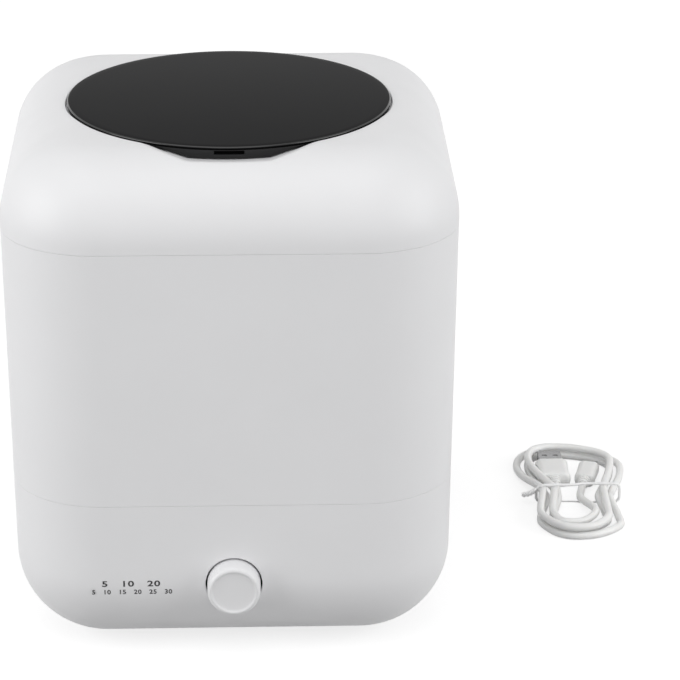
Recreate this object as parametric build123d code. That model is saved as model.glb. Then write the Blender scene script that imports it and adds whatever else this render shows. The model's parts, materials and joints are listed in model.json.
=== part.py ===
from build123d import *
import os
from math import asin, atan2, cos, degrees, pi, radians, sin, sqrt, tan

# Portable washing machine: a square white body with rounded corners, a round black lid, a wash tub
# with a curved-vane pulsator, a geared motor under the tub, and one knob on the front.
# Its power lead lies tied in a hank on the floor beside it.
# Millimetres. +Z is up, the knob faces -Y, and the body stands on the plane z = 0.

# How finely curves are drawn, in flat strips
facet_error = 0.35            # about how far a flat side lies inside its circle
corner_steps = 5              # round each upright corner of the body
rounding_steps = 5            # round its top and bottom edges
small_steps = 2               # round smaller corners
screw_sides = 6
post_sides = 6

# Body, as three shells stacked on each other
body_width = 200.0            # at the top of the side walls, both ways
body_height = 230.0           # without the feet
side_taper = 0.8              # degrees, each side leaning in towards the bottom
corner_radius = 43.5          # upright corners, seen from above
top_rounding = 35.0
bottom_rounding = 39.0
wall = 2.6
lower_seam = 75.0             # above the underside of the body
upper_seam = 192.0            # above the underside of the body
seam_gap = 0.5                # shadow line between two shells
lip_height = 3.0              # tongue of the lower shell inside the upper one
lip_clearance = 0.1
lip_end_gap = 0.4

# Feet and the long screws above them
foot_reach = 2.0              # rubber below the body
foot_radius = 8.0
foot_recess = 1.4             # how deep a foot sits in the base
foot_side = 43.0              # from the middle to a foot, along X and along Y
foot_gap = 0.2
pillar_radius = 6.0
post_radius = 4.8
screw_hole_radius = 2.1
screw_head_radius = 3.8
screw_head_height = 2.4
screw_radius = 1.9
base_screw_length = 24.0
cover_screw_length = 9.0
small_screw_radius = 1.3
small_head_radius = 2.4
small_head_height = 1.6
pillar_floor = 6.0            # left between a long screw's head and the end of its pillar
joint_height = 62.0           # where base pillars meet tub posts, above the underside of the body

# Lid
lid_radius = 72.2
lid_gap = 0.6                 # around the rim
panel_thickness = 1.2
panel_dome = 1.2
frame_thickness = 1.6
lid_lift_gap = 0.3            # between the lid and the cover it rests over
panel_overhang = 0.4          # panel beyond the frame under it
seat_depth = 2.6              # step in the cover that the lid lies in
seat_thickness = 2.4
skirt_wall = 2.0
skirt_depth = 10.0
gasket_height = 3.0
gasket_gap = 0.4
gasket_thickness = 2.2

# Finger scoop in the cover and the grip tab that fills it
scoop_depth = 4.9             # below the top of the body
scoop_low_half = 17.8
scoop_top_half = 36.5
scoop_start = 3.4             # how far inside the rim the cut begins
tab_gap = 0.4
tab_thickness = 2.6
nail_slot_width = 13.0
nail_slot_height = 1.9        # right under the panel
nail_slot_depth = 1.2

# Mouth and tub
mouth_radius = 66.0
neck_wall = 2.2
neck_depth = 12.0
tub_top_radius = 71.0
tub_floor_radius = 65.0
tub_wall = 2.4
tub_floor = 86.0              # inner floor, above the underside of the body
tub_corner = 9.0
seal_height = 2.0
flange_reach = 5.0
flange_thickness = 2.4
flange_gap = 0.5              # kept free round the flange and its seal, under the cover
rib_count = 6
rib_radius = 3.0
rib_low = 24.0                # above the tub floor
rib_high = 112.0
lug_drop = 11.0               # from the tub's rim down to its screw lugs
lug_thickness = 3.0
lug_gap = 1.1                 # between the rim's flange and a lug
lug_radius = 5.0

# Pulsator
pulsator_radius = 47.0
pulsator_gap = 2.0            # above the tub floor
pulsator_rim = 3.0
pulsator_crown = 8.0          # height at the hub above its underside
vane_count = 4
vane_height = 15.0
vane_width = 7.0
vane_tip_width = 3.5
vane_steps = 3
vane_limit_sides = 16         # of the turned shape that rounds off the vanes' tops
vane_sweep_power = 1.5        # above 1, a vane bends back more towards the rim
dome_steps = 3
vane_inner = 9.0
vane_outer = 44.0
vane_turn = 48.0              # degrees that a vane sweeps back
drain_hole_radius = 1.4
drain_hole_ring = 39.5
hub_radius = 8.0
shaft_screw_recess = 4.0      # for the head of the screw that holds the pulsator
shaft_screw_web = 1.6         # between that head and the end of the shaft
shaft_flat = 0.8
hub_lift = 1.0                # hub above the tub floor
vane_draft = 8.0              # degrees
pulsator_screw_radius = 1.5
pulsator_screw_grip = 9.0

# Drive
shaft_radius = 3.0
running_gap = 0.05
bush_radius = 5.5
bush_length = 7.0
boss_radius = 9.5
boss_length = 13.0            # below the underside of the tub
shaft_seal_radius = 7.5
shaft_seal_height = 5.0
gear_module = 1.0
gear_teeth = 46
pinion_teeth = 14
gear_width = 7.0
tooth_addendum = 0.85         # in modules, shortened for the small pinion
tooth_dedendum = 1.15
tooth_backlash = 0.24
gear_web_holes = 5
gear_web_edge = 1.2           # web left on either side of a hole
gear_rim = 3.0                # inside the pitch circle
gear_lift = 1.6               # between the gear plate and the teeth
gear_hub_radius = 8.0
gear_cover_gap = 1.4          # around the teeth and above them
gear_cover_wall = 1.6
gear_plate_thickness = 3.0
gear_drop = 27.0              # from the underside of the tub to the top of the gear plate
motor_radius = 13.9
motor_length = 37.0
motor_shaft_radius = 1.15
mount_post_radius = 4.0
plate_screw_grip = 8.0
shaft_tail = 5.0              # shaft below the gear plate
clip_radius = 5.0
clip_thickness = 0.8
clip_groove = 0.5
motor_can_edge = 1.2          # cut back all round its top
motor_cap_height = 4.0
motor_neck_radius = 3.5
motor_neck_height = 2.4
motor_shaft_grip = 12.0       # shaft inside the can
motor_screw_grip = 4.0
motor_terminal_side = 8.5
gear_ear_height = 3.0
motor_screw_side = 8.0
bush_flange = 1.2

# Knob, encoder and control board
knob_height = 36.8            # axis above the underside of the body
knob_hole_radius = 12.5
knob_gap = 0.7
knob_reach = 8.5              # in front of the wall
knob_inset = 3.4              # behind the outside of the wall
knob_draft = 0.4              # how much smaller the front is in radius
knob_lip = 1.9
knob_wall = 1.8
knob_dish = 0.5
knob_boss_radius = 5.0
knob_travel = 1.2
encoder_shaft_radius = 3.0
encoder_size = 12.4
encoder_depth = 6.5
encoder_neck_radius = 3.6
encoder_neck_length = 5.0
encoder_shaft_end = 3.6       # from the end of the shaft to the board
plunger_radius = 2.2
plunger_length = 1.6
board_distance = 20.0         # from the outside of the front wall to the control board
board_width = 60.0
board_height = 36.0
board_thickness = 1.6
board_post_radius = 3.0
board_screw_side = 25.0
board_screw_rise = 13.0
board_screw_length = 7.0

# Power socket
socket_height = 47.0          # above the underside of the body
socket_width = 7.6
socket_thick = 2.8
socket_depth = 5.6
socket_skin = 0.35
socket_setback = 0.8
socket_gap = 0.3              # around the socket, and between its board and the wall
socket_board_width = 16.0
socket_board_depth = 14.0
socket_board_thickness = 1.2
plug_recess_width = 12.4
plug_recess_height = 8.4
plug_recess_depth = 1.5

# Power lead, lying on the floor
cord_diameter = 3.8
layer_gap = 0.8               # between the two layers of the hank
strand_gap = 1.8              # between strands side by side, a wide step for the slant at the waist
hank_x = 170.0                # where the tie is
hank_y = 66.0
cord_sides = 4
tie_thickness = 0.8
tie_width = 2.6
tie_gap = 0.3
tie_tail = 9.0
top_loops = 3                 # loops above the tie, with one more below it
waist_left = 9.0              # innermost strands at the tie, to its left and right
waist_right = 11.0
waist_back = 2.0              # the last strand, up to the micro plug
layer_shift = 2.2             # upper layer, sideways at the tie
top_half = 20.6               # innermost top loop: half width, reach and where it bends
top_reach = 54.0
top_bend_low = 30.0
top_bend_left = 40.0          # squarer on this side, round the tip of the flat plug
top_bend_right = 34.0
top_lean = 9.0
low_half = 14.0               # innermost loop below the tie
low_half_right = 13.0
low_reach = 36.0
low_pitch = 6.0               # these loops fan out more
low_bend = 20.0
low_bend_step = 3.0
low_lean = -6.0
low_lean_step = 3.0
lead_end = 13.0               # where both strain reliefs end, above the tie
relief_length = 5.0
relief_root = 3.3
relief_tip = 2.4
relief_grooves = 2
relief_groove_depth = 0.4
plug_skin = 0.4
grip_shoulder = 1.4           # cut back round the end that the cord enters
flat_plug_height = 4.0        # middle of the flat plug above the floor
flat_grip_width = 16.6
flat_grip_length = 18.8
flat_shell_width = 12.0
flat_shell_thickness = 4.5
flat_shell_length = 12.5
flat_window_side = 2.8
micro_plug_height = 3.7
micro_u = 4.6
micro_tilt = 14.5             # degrees
micro_grip_width = 10.6
micro_grip_length = 17.0
micro_shell_width = 6.85
micro_shell_thickness = 1.85
micro_shell_length = 6.0

# Heights and places worked out from the sizes above
body_bottom = foot_reach
body_top = body_bottom + body_height
lower_seam_z = body_bottom + lower_seam
upper_seam_z = body_bottom + upper_seam
seat_z = body_top - seat_depth
scoop_z = body_top - scoop_depth
frame_low_z = seat_z + lid_lift_gap
panel_low_z = frame_low_z + frame_thickness
seal_top_z = scoop_z - seat_thickness
rim_top_z = seal_top_z - seal_height
tub_floor_z = body_bottom + tub_floor
tub_under_z = tub_floor_z - tub_wall
joint_z = body_bottom + joint_height
gear_plate_z = tub_under_z - gear_drop
motor_distance = gear_module * (gear_teeth + pinion_teeth) / 2
knob_z = body_bottom + knob_height
socket_z = body_bottom + socket_height
lug_top_z = rim_top_z - lug_drop
flange_radius = tub_top_radius + tub_wall + flange_reach
flange_low_z = rim_top_z - flange_thickness
lug_distance = flange_radius + lug_gap + lug_radius
crown_z = tub_floor_z + pulsator_gap + pulsator_crown
shaft_top_z = crown_z - shaft_screw_recess - shaft_screw_web
gear_low_z = gear_plate_z + gear_lift
gear_plate_low_z = gear_plate_z - gear_plate_thickness
clip_low_z = gear_plate_low_z - bush_flange - clip_thickness - 0.3
socket_board_low = socket_z - socket_thick / 2 - socket_board_thickness
lap = wall / 2
seal_radii = (tub_top_radius + tub_wall + 1.0, tub_top_radius + 0.5)
corner_angles = [45, 135, 225, 315]
gear_cover_ears = [(-30.5, 4.0), (30.5, 4.0)]
plate_posts = [(-34.0, -14.0), (34.0, -14.0), (-26.0, 44.0), (26.0, 44.0)]


def half_width(z):
    """Half the body's width at height z, on its tapered side wall."""
    return body_width / 2 - (body_top - z) * tan(radians(side_taper))


front_y = -half_width(knob_z)
back_y = half_width(socket_z)
board_y = front_y + board_distance
socket_board_y = back_y - wall - socket_gap
encoder_neck_y = board_y - encoder_depth - encoder_neck_length
widest = half_width(body_top - top_rounding)
# The origin is the middle of the object's box, and the knob stands out at the front only.
origin_shift = (knob_reach - front_y - widest) / 2


def sides_of(radius):
    """How many flat sides stand in for a circle."""
    return 4 * max(2, round(pi * sqrt(radius / (2 * facet_error)) / 4))


def round_face(radius, sides=None, around=False):
    """A circle in flat sides, inside the true one, or around it for a hole that must clear a bar."""
    return RegularPolygon(radius, sides or sides_of(radius), major_radius=not around)


def rod(radius, low, high, x=0.0, y=0.0, sides=None):
    """An upright round bar between two heights, or the hole that it fills."""
    return Pos(x, y, low) * extrude(round_face(radius, sides), amount=high - low)


def bore(radius, low, high, x=0.0, y=0.0, sides=None):
    """An upright hole between two heights that clears a bar of its radius at every angle."""
    return Pos(x, y, low) * extrude(round_face(radius, sides, around=True), amount=high - low)


def axle(radius, low, high, x=0.0, y=0.0):
    """An upright cylinder, truly round, for what turns and what it turns in."""
    return Pos(x, y, (low + high) / 2) * Cylinder(radius, high - low)


def pipe(outer, inner, low, high, x=0.0, y=0.0, sides=None):
    """An upright tube between two heights."""
    return rod(outer, low, high, x, y, sides) - bore(inner, low - 1, high + 1, x, y, sides)


def rod_y(radius, near, far, x, z, sides=None):
    """A round bar along Y between two depths, or the hole that it fills."""
    return Pos(x, near, z) * Rot(-90, 0, 0) * extrude(round_face(radius, sides), amount=far - near)


def bore_y(radius, near, far, x, z, sides=None):
    """A hole along Y that clears a bar of its radius at every angle."""
    face = round_face(radius, sides, around=True)
    return Pos(x, near, z) * Rot(-90, 0, 0) * extrude(face, amount=far - near)


def axle_y(radius, near, far, x, z):
    """A cylinder along Y, truly round."""
    return Pos(x, (near + far) / 2, z) * Rot(90, 0, 0) * Cylinder(radius, far - near)


def skin(rings):
    """A closed solid from rings of as many points each, with flat ends."""
    faces = [Face(Wire.make_polygon(rings[0][::-1])), Face(Wire.make_polygon(rings[-1]))]
    for low, high in zip(rings, rings[1:]):
        for k in range(len(low)):
            faces.append(Face(Wire.make_polygon([low[k - 1], low[k], high[k], high[k - 1]])))
    return Part() + Solid(Shell(faces))


def turned(profile, sides=None, around=False):
    """A turned solid about Z in flat sides, from pairs of radius and height going up."""
    count = sides or sides_of(max(radius for radius, height in profile))
    grow = 1 / cos(pi / count) if around else 1.0
    corners = [(grow * cos(2 * pi * k / count), grow * sin(2 * pi * k / count)) for k in range(count)]
    return skin([[(radius * x, radius * y, height) for x, y in corners] for radius, height in profile])


def quarter_turns(steps):
    """Cosine and sine of the angles from 0 to 90 degrees in even steps."""
    return [(cos(radians(90 * k / steps)), sin(radians(90 * k / steps))) for k in range(steps + 1)]


def rounded_outline(half_x, half_y, radius, steps):
    """The points round a rectangle whose corners are rounded in flat steps."""
    points = []
    for quarter, (x, y) in enumerate(((1, 1), (-1, 1), (-1, -1), (1, -1))):
        for k in range(steps + 1):
            a = radians(90 * (quarter + k / steps))
            points.append((x * (half_x - radius) + radius * cos(a), y * (half_y - radius) + radius * sin(a)))
    return points


def box(x0, x1, y0, y1, z0, z1):
    """A box between two corners."""
    return Pos((x0 + x1) / 2, (y0 + y1) / 2, (z0 + z1) / 2) * Box(x1 - x0, y1 - y0, z1 - z0)


def slab(low, high):
    """Everything between two heights."""
    return box(-body_width, body_width, -body_width, body_width, low, high)


def body_ring(inset, z, drawn_in):
    """The body's outline at a height, inside its wall by inset and further in where an edge is rounded."""
    half = half_width(z) - inset - drawn_in
    radius = corner_radius - (body_top - z) * tan(radians(side_taper)) - inset - drawn_in
    return [(x, y, z) for x, y in rounded_outline(half, half, max(radius, facet_error), corner_steps)]


def body_form(inset):
    """The whole body as one block, its skin moved inwards by inset."""
    low_radius = bottom_rounding - inset
    top_radius = top_rounding - inset
    low = body_bottom + inset
    high = body_top - inset
    rings = []
    for c, s in quarter_turns(rounding_steps):
        rings.append(body_ring(inset, low + low_radius * (1 - c), low_radius * (1 - s)))
    for c, s in quarter_turns(rounding_steps):
        rings.append(body_ring(inset, high - top_radius * (1 - s), top_radius * (1 - c)))
    return skin(rings)


def wedge_cut(low_half, top_half, depth, inner_radius):
    """The scoop's shape seen from the front, run inwards as far as a circle round the middle."""
    rise = depth + 1.0
    reach = low_half + (top_half - low_half) * rise / depth
    high = body_top + 1.0
    low = body_top - depth
    face = Plane.XZ * Polygon((-low_half, low), (low_half, low), (reach, high), (-reach, high), align=None)
    return extrude(face, amount=body_width / 2) - rod(inner_radius, low - 1, high + 1)


def make_top_cover(outer, inner, lap_form):
    """The upper shell with the seat for the lid, the neck over the tub and the finger scoop."""
    neck_radius = mouth_radius + neck_wall
    cover = (outer - inner) & slab(upper_seam_z + seam_gap / 2, body_top + 1)
    cover -= pipe(flange_radius + flange_gap, neck_radius, flange_low_z - flange_gap, seal_top_z)
    cover -= lap_form & slab(upper_seam_z - 1, upper_seam_z + lip_height + lip_end_gap)
    seat_radius = lid_radius + lid_gap
    under_seat = seat_z - seat_thickness
    ring = rod(seat_radius + seat_thickness, under_seat, seat_z + 1)
    neck = rod(neck_radius, under_seat - neck_depth, seat_z)
    land = rod(seal_radii[0], seal_top_z, seat_z)
    pan = wedge_cut(
        scoop_low_half + seat_thickness, scoop_top_half + seat_thickness,
        scoop_depth + seat_thickness, mouth_radius,
    )
    cover += (ring & outer) + neck + land + (pan & outer)
    for a in corner_angles:
        boss = rod(lug_radius, lug_top_z, body_top - wall / 2, lug_distance, 0, post_sides)
        cover += Rot(0, 0, a) * boss
    cover -= bore(seat_radius, seat_z, body_top + 2)
    cover -= bore(mouth_radius, under_seat - neck_depth - 1, body_top)
    cover -= wedge_cut(scoop_low_half, scoop_top_half, scoop_depth, lid_radius - scoop_start)
    for a in corner_angles:
        hole = rod(screw_radius, lug_top_z - 1, seat_z - seat_thickness, lug_distance, 0, screw_sides)
        cover -= Rot(0, 0, a) * hole
    return cover


def make_middle_housing(outer, inner, lap_form, lip):
    """The plain square tube between the seams, with a tongue up into the cover."""
    low = lower_seam_z + seam_gap / 2
    high = upper_seam_z - seam_gap / 2
    housing = (outer - inner) & slab(low, high)
    housing += lip & slab(high - wall, upper_seam_z + lip_height)
    return housing - (lap_form & slab(low - 1, lower_seam_z + lip_height + lip_end_gap))


def make_base_housing(outer, inner, lip):
    """The lower shell with pillars, board standoffs, the socket's shelf and their holes."""
    high = lower_seam_z - seam_gap / 2
    base = (outer - inner) & slab(body_bottom - 1, high)
    base += lip & slab(high - wall, lower_seam_z + lip_height)
    for x in (-foot_side, foot_side):
        for y in (-foot_side, foot_side):
            base += rod(pillar_radius, body_bottom + wall / 2, joint_z, x, y, post_sides)
            head_hole = screw_head_radius + foot_gap
            base -= bore(head_hole, body_bottom - 1, joint_z - pillar_floor, x, y, screw_sides)
            base -= bore(screw_hole_radius, body_bottom, joint_z + 1, x, y, screw_sides)
            base -= bore(foot_radius + foot_gap, body_bottom - 1, body_bottom + foot_recess, x, y)
    for x in (-board_screw_side, board_screw_side):
        for z in (knob_z - board_screw_rise, knob_z + board_screw_rise):
            post = rod_y(board_post_radius, -body_width / 2, board_y, x, z, post_sides)
            base += post & outer
            base -= rod_y(small_screw_radius, board_y - board_screw_length, board_y + 1, x, z, screw_sides)
    base -= bore_y(knob_hole_radius, -body_width / 2, front_y + wall + 2, 0, knob_z)
    shelf_top = socket_board_low
    shelf_half = socket_board_width / 2
    shelf_front = socket_board_y - socket_board_depth
    for x in (-shelf_half + 2, shelf_half - 2):
        base += box(x - 2, x + 2, shelf_front, back_y - wall / 2, shelf_top - 3.0, shelf_top)
    base -= socket_opening(plug_recess_width, plug_recess_height, 2.4, back_y - plug_recess_depth)
    return base - socket_opening(
        socket_width + 2 * socket_gap, socket_thick + 2 * socket_gap, socket_gap, back_y - wall - 1,
    )


def socket_opening(width, height, corner, depth_y):
    """An opening with rounded corners in the rear wall, from depth_y outwards."""
    outline = Polygon(*rounded_outline(width / 2, height / 2, corner, small_steps), align=None)
    face = Plane.XZ * Pos(0, socket_z) * outline
    return Pos(0, body_width / 2 + 1, 0) * extrude(face, amount=body_width / 2 + 1 - depth_y)


def make_rubber_feet():
    """Four round feet set into the base, over the long screws, their lower edges cut back."""
    edge = foot_reach * 0.3
    profile = [(foot_radius - edge, 0), (foot_radius, edge), (foot_radius, body_bottom + foot_recess)]
    feet = Part()
    for x in (-foot_side, foot_side):
        for y in (-foot_side, foot_side):
            feet += Pos(x, y, 0) * turned(profile)
    return feet


def screw_up(
    x, y, head_top, length, radius=screw_radius, head=screw_head_radius, head_height=screw_head_height
):
    """A screw pointing up, its head below head_top."""
    shank = rod(radius, head_top, head_top + length, x, y, screw_sides)
    return shank + rod(head, head_top - head_height, head_top, x, y, screw_sides)


def screw_down(x, y, head_low, length, radius, head, head_height):
    """A screw pointing down, its head above head_low."""
    shank = rod(radius, head_low - length, head_low, x, y, screw_sides)
    return shank + rod(head, head_low, head_low + head_height, x, y, screw_sides)


def make_base_screws():
    """Long screws up through the base pillars into the tub posts."""
    top = joint_z - pillar_floor
    screws = Part()
    for x in (-foot_side, foot_side):
        for y in (-foot_side, foot_side):
            screws += screw_up(x, y, top, base_screw_length)
    return screws


def make_cover_screws():
    """Four screws up through the tub lugs into the cover bosses."""
    screws = Part()
    for a in corner_angles:
        screws += Rot(0, 0, a) * screw_up(lug_distance, 0, lug_top_z - lug_thickness, cover_screw_length)
    return screws


def make_lid_panel():
    """The glossy top disc, slightly domed, with a rounded rim."""
    rim_z = panel_low_z + panel_thickness
    edge = lid_radius - panel_thickness * 0.35
    profile = [(edge, panel_low_z), (lid_radius, panel_low_z + panel_thickness / 2), (edge, rim_z)]
    for k in range(1, small_steps + 1):
        inward = k / (small_steps + 1)
        profile.append((edge * (1 - inward), rim_z + panel_dome * (1 - (1 - inward) ** 2)))
    return turned(profile)


def make_lid_frame():
    """The ring under the panel: its flange, the skirt into the mouth and the grip tab in front."""
    flange_radius = lid_radius - panel_overhang
    skirt_radius = mouth_radius - gasket_gap - gasket_thickness
    low = frame_low_z - skirt_depth
    frame = pipe(flange_radius, skirt_radius - skirt_wall, frame_low_z, panel_low_z)
    frame += pipe(skirt_radius, skirt_radius - skirt_wall, low, panel_low_z)
    groove = pipe(
        skirt_radius + 1, skirt_radius - skirt_wall / 2,
        low + skirt_wall, low + skirt_wall + gasket_height,
    )
    frame -= groove
    depth = scoop_depth - tab_gap
    tab = wedge_cut(
        scoop_low_half - tab_gap, scoop_top_half - 2 * tab_gap, depth, lid_radius - tab_thickness,
    )
    frame += tab & rod(lid_radius, body_top - depth, panel_low_z)
    half = nail_slot_width / 2
    return frame - box(
        -half, half, -body_width / 2, -(lid_radius - nail_slot_depth),
        panel_low_z - nail_slot_height, panel_low_z + 1,
    )


def make_lid_gasket():
    """The soft ring in the skirt's groove, with a lip that wipes the mouth."""
    lip = mouth_radius - gasket_gap
    root = mouth_radius - gasket_gap - gasket_thickness
    low = frame_low_z - skirt_depth + skirt_wall
    ring = turned([(root, low), (lip, low + gasket_height / 2), (root, low + gasket_height)])
    return ring - bore(root - skirt_wall / 2, low - 1, low + gasket_height + 1)


def tub_wall_radius(z):
    """Inside radius of the tub's wall at a height."""
    slope = (tub_top_radius - tub_floor_radius) / (rim_top_z - tub_floor_z)
    return tub_floor_radius + slope * (z - tub_floor_z)


def tub_form(grow, low, around):
    """The inside of the tub as a block, or its outside when grown by the wall."""
    corner = tub_corner + grow
    profile = []
    for c, s in quarter_turns(small_steps):
        centre = tub_wall_radius(low + corner) + grow - corner
        profile.append((centre + corner * s, low + corner * (1 - c)))
    profile.append((tub_top_radius + grow, rim_top_z))
    return turned(profile, around=around)


def make_wash_tub():
    """The round tub with its wash ribs, flange, screw lugs, bearing boss and posts below."""
    inside = tub_form(0, tub_floor_z, True)
    outside = tub_form(tub_wall, tub_under_z, False)
    tub = outside - inside
    slope = degrees(atan2(tub_top_radius - tub_floor_radius, rim_top_z - tub_floor_z))
    rib_mid = tub_floor_z + (rib_low + rib_high) / 2
    rib = rod(rib_radius, (rib_low - rib_high) / 2, (rib_high - rib_low) / 2, 0, 0, post_sides)
    rib = Pos(tub_wall_radius(rib_mid), 0, rib_mid) * Rot(0, slope, 0) * rib
    for k in range(rib_count):
        tub += Rot(0, 0, 360 * (k + 0.5) / rib_count) * rib & outside
    tub += pipe(flange_radius, tub_top_radius, flange_low_z, rim_top_z)
    lug_low = lug_top_z - lug_thickness
    for a in corner_angles:
        lug = box(tub_top_radius, lug_distance, -lug_radius, lug_radius, lug_low, lug_top_z)
        lug += rod(lug_radius, lug_low, lug_top_z, lug_distance, 0, post_sides)
        lug -= bore(screw_hole_radius, lug_low - 1, lug_top_z + 1, lug_distance, 0, screw_sides)
        tub += Rot(0, 0, a) * lug - inside
    boss_low = tub_under_z - boss_length
    tub += rod(boss_radius, boss_low, tub_under_z + tub_wall / 2)
    for a in corner_angles:
        web_low = tub_under_z - boss_length * 0.7
        web = box(boss_radius - 1, foot_side * sqrt(2), -1.0, 1.0, web_low, tub_under_z + 1)
        tub += Rot(0, 0, a) * web
    for x, y in plate_posts:
        tub += rod(mount_post_radius, gear_plate_z, tub_under_z + 1, x, y, post_sides)
        tub -= rod(small_screw_radius, gear_plate_z - 1, gear_plate_z + plate_screw_grip, x, y, screw_sides)
    for x in (-foot_side, foot_side):
        for y in (-foot_side, foot_side):
            tub += rod(post_radius, joint_z, tub_under_z + 1, x, y, post_sides)
            hole_top = joint_z - pillar_floor + base_screw_length
            tub -= rod(screw_radius, joint_z - 1, hole_top, x, y, screw_sides)
    tub -= rod(shaft_seal_radius, tub_floor_z - shaft_seal_height, tub_floor_z + 1)
    tub -= bore(shaft_radius + 0.6, boss_low - 1, tub_floor_z)
    return tub - rod(bush_radius, boss_low - 1, boss_low + bush_length)


def make_tub_seal():
    """The flat ring squeezed between the tub's rim and the cover."""
    return pipe(*seal_radii, rim_top_z, seal_top_z)


def make_shaft_seal():
    """The lip seal that keeps the water off the bearing, hollow below its lip."""
    low = tub_floor_z - shaft_seal_height
    ring = pipe(shaft_seal_radius, shaft_radius + running_gap, low, tub_floor_z)
    return ring - pipe(shaft_seal_radius - 1.4, shaft_radius + 1.2, low - 1, low + shaft_seal_height * 0.6)


def make_upper_bush():
    """The plain bearing in the tub's boss."""
    low = tub_under_z - boss_length
    high = low + bush_length
    return rod(bush_radius, low, high) - axle(shaft_radius + running_gap, low - 1, high + 1)


def make_lower_bush():
    """The flanged bearing in the gear plate."""
    flange = rod(bush_radius + 2, gear_plate_low_z - bush_flange, gear_plate_low_z)
    bush = rod(bush_radius, gear_plate_low_z, gear_plate_z) + flange
    return bush - bore(shaft_radius + running_gap, gear_plate_low_z - bush_flange - 1, gear_plate_z + 1)


def keyed_rod(radius, flat, low, high):
    """An upright shaft end with one flat on it."""
    return rod(radius, low, high) - box(radius - flat, radius + 1, -radius, radius, low - 1, high + 1)


def make_drive_shaft():
    """The steel shaft from the gear plate up into the pulsator, keyed at both seats."""
    low = gear_plate_low_z - shaft_tail
    gear_top = gear_low_z + gear_width
    hub_low = tub_floor_z + hub_lift
    shaft = rod(shaft_radius, low, gear_low_z) + axle(shaft_radius, gear_top, hub_low)
    shaft += keyed_rod(shaft_radius, shaft_flat, gear_low_z, gear_top)
    shaft += keyed_rod(shaft_radius, shaft_flat, hub_low, shaft_top_z)
    shaft -= pipe(shaft_radius + 1, shaft_radius - clip_groove, clip_low_z, clip_low_z + clip_thickness)
    hole_low = shaft_top_z - pulsator_screw_grip
    return shaft - rod(pulsator_screw_radius, hole_low, shaft_top_z + 1, 0, 0, screw_sides)


def make_shaft_clip():
    """The spring clip in the shaft's groove, under the lower bearing."""
    ring = pipe(clip_radius, shaft_radius - clip_groove, clip_low_z, clip_low_z + clip_thickness)
    return ring - box(0, clip_radius + 1, -1.6, 1.6, clip_low_z - 1, clip_low_z + clip_thickness + 1)


def make_pulsator_screw():
    """The screw down through the hub into the shaft."""
    seat = crown_z - shaft_screw_recess
    length = seat - shaft_top_z + pulsator_screw_grip
    return screw_down(0, 0, seat, length, pulsator_screw_radius, screw_head_radius, screw_head_height)


def vane_face():
    """One vane seen from above, swept back and narrower towards the rim."""
    lead, trail = [], []
    for k in range(vane_steps + 1):
        out = k / vane_steps
        radius = vane_inner + (vane_outer - vane_inner) * out
        a = radians(vane_turn) * out ** vane_sweep_power
        half = (vane_width - (vane_width - vane_tip_width) * out ** 2) / 2
        lead.append((radius * cos(a) + half * sin(a), radius * sin(a) - half * cos(a)))
        trail.append((radius * cos(a) - half * sin(a), radius * sin(a) + half * cos(a)))
    return Polygon(*lead, *trail[::-1], align=None)


def make_pulsator():
    """The agitator: a low dome with swept vanes, drain holes, a hollow underside and a keyed hub."""
    low = tub_floor_z + pulsator_gap
    rim = low + pulsator_rim
    vane_top = low + vane_height
    dome = [(pulsator_radius, low)]
    limit = []
    for c, s in quarter_turns(dome_steps):
        dome.append((hub_radius + (pulsator_radius - hub_radius) * c, rim + (crown_z - rim) * s))
        limit.append((vane_inner + (pulsator_radius - vane_inner) * c, low + vane_height * s))
    body = turned(dome)
    vane = extrude(Pos(0, 0, low + 1) * vane_face(), amount=vane_height, taper=vane_draft)
    vane = vane & turned(limit, vane_limit_sides)
    for k in range(vane_count):
        body += Rot(0, 0, 360 * k / vane_count) * vane
    for k in range(vane_count):
        for turn in (0.55, 0.85):
            hole = rod(drain_hole_radius, low - 1, crown_z, drain_hole_ring, 0, screw_sides)
            body -= Rot(0, 0, 360 * (k + turn) / vane_count + vane_turn / 2) * hole
    body -= pipe(pulsator_radius - pulsator_rim, hub_radius + 2, low - 1, low + pulsator_rim * 0.4)
    body += rod(hub_radius, tub_floor_z + hub_lift, low + 1)
    body -= keyed_rod(shaft_radius, shaft_flat, tub_floor_z, shaft_top_z)
    body -= rod(pulsator_screw_radius, shaft_top_z - 1, crown_z, 0, 0, screw_sides)
    return body - bore(screw_head_radius + 0.4, crown_z - shaft_screw_recess, vane_top + 1)


def involute(angle):
    """The involute function of a pressure angle in radians."""
    return tan(angle) - angle


def gear_face(teeth, first_tooth, flank_steps):
    """Involute teeth seen along the axis, with the first one at the angle given in degrees."""
    pressure = radians(20)
    pitch = gear_module * teeth / 2
    base = pitch * cos(pressure)
    tip = pitch + tooth_addendum * gear_module
    root = pitch - tooth_dedendum * gear_module
    start = max(root, base)
    half_pitch = (pi * gear_module / 2 - tooth_backlash / 2) / (2 * pitch)

    def half_angle(radius):
        """Half of the tooth's angle at a radius."""
        tilt = asin(sqrt(max(0.0, 1 - (base / radius) ** 2)))
        return half_pitch + involute(pressure) - involute(tilt)

    radii = [start + (tip - start) * k / flank_steps for k in range(flank_steps + 1)]
    flank = [(radius, half_angle(radius)) for radius in radii]
    if start > root:
        flank.insert(0, (root, half_angle(start)))
    points = []
    for k in range(teeth):
        middle = radians(first_tooth) + 2 * pi * k / teeth
        points += [(radius * cos(middle - half), radius * sin(middle - half)) for radius, half in flank]
        points += [(radius * cos(middle + half), radius * sin(middle + half)) for radius, half in flank[::-1]]
    return Polygon(*points, align=None)


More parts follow.
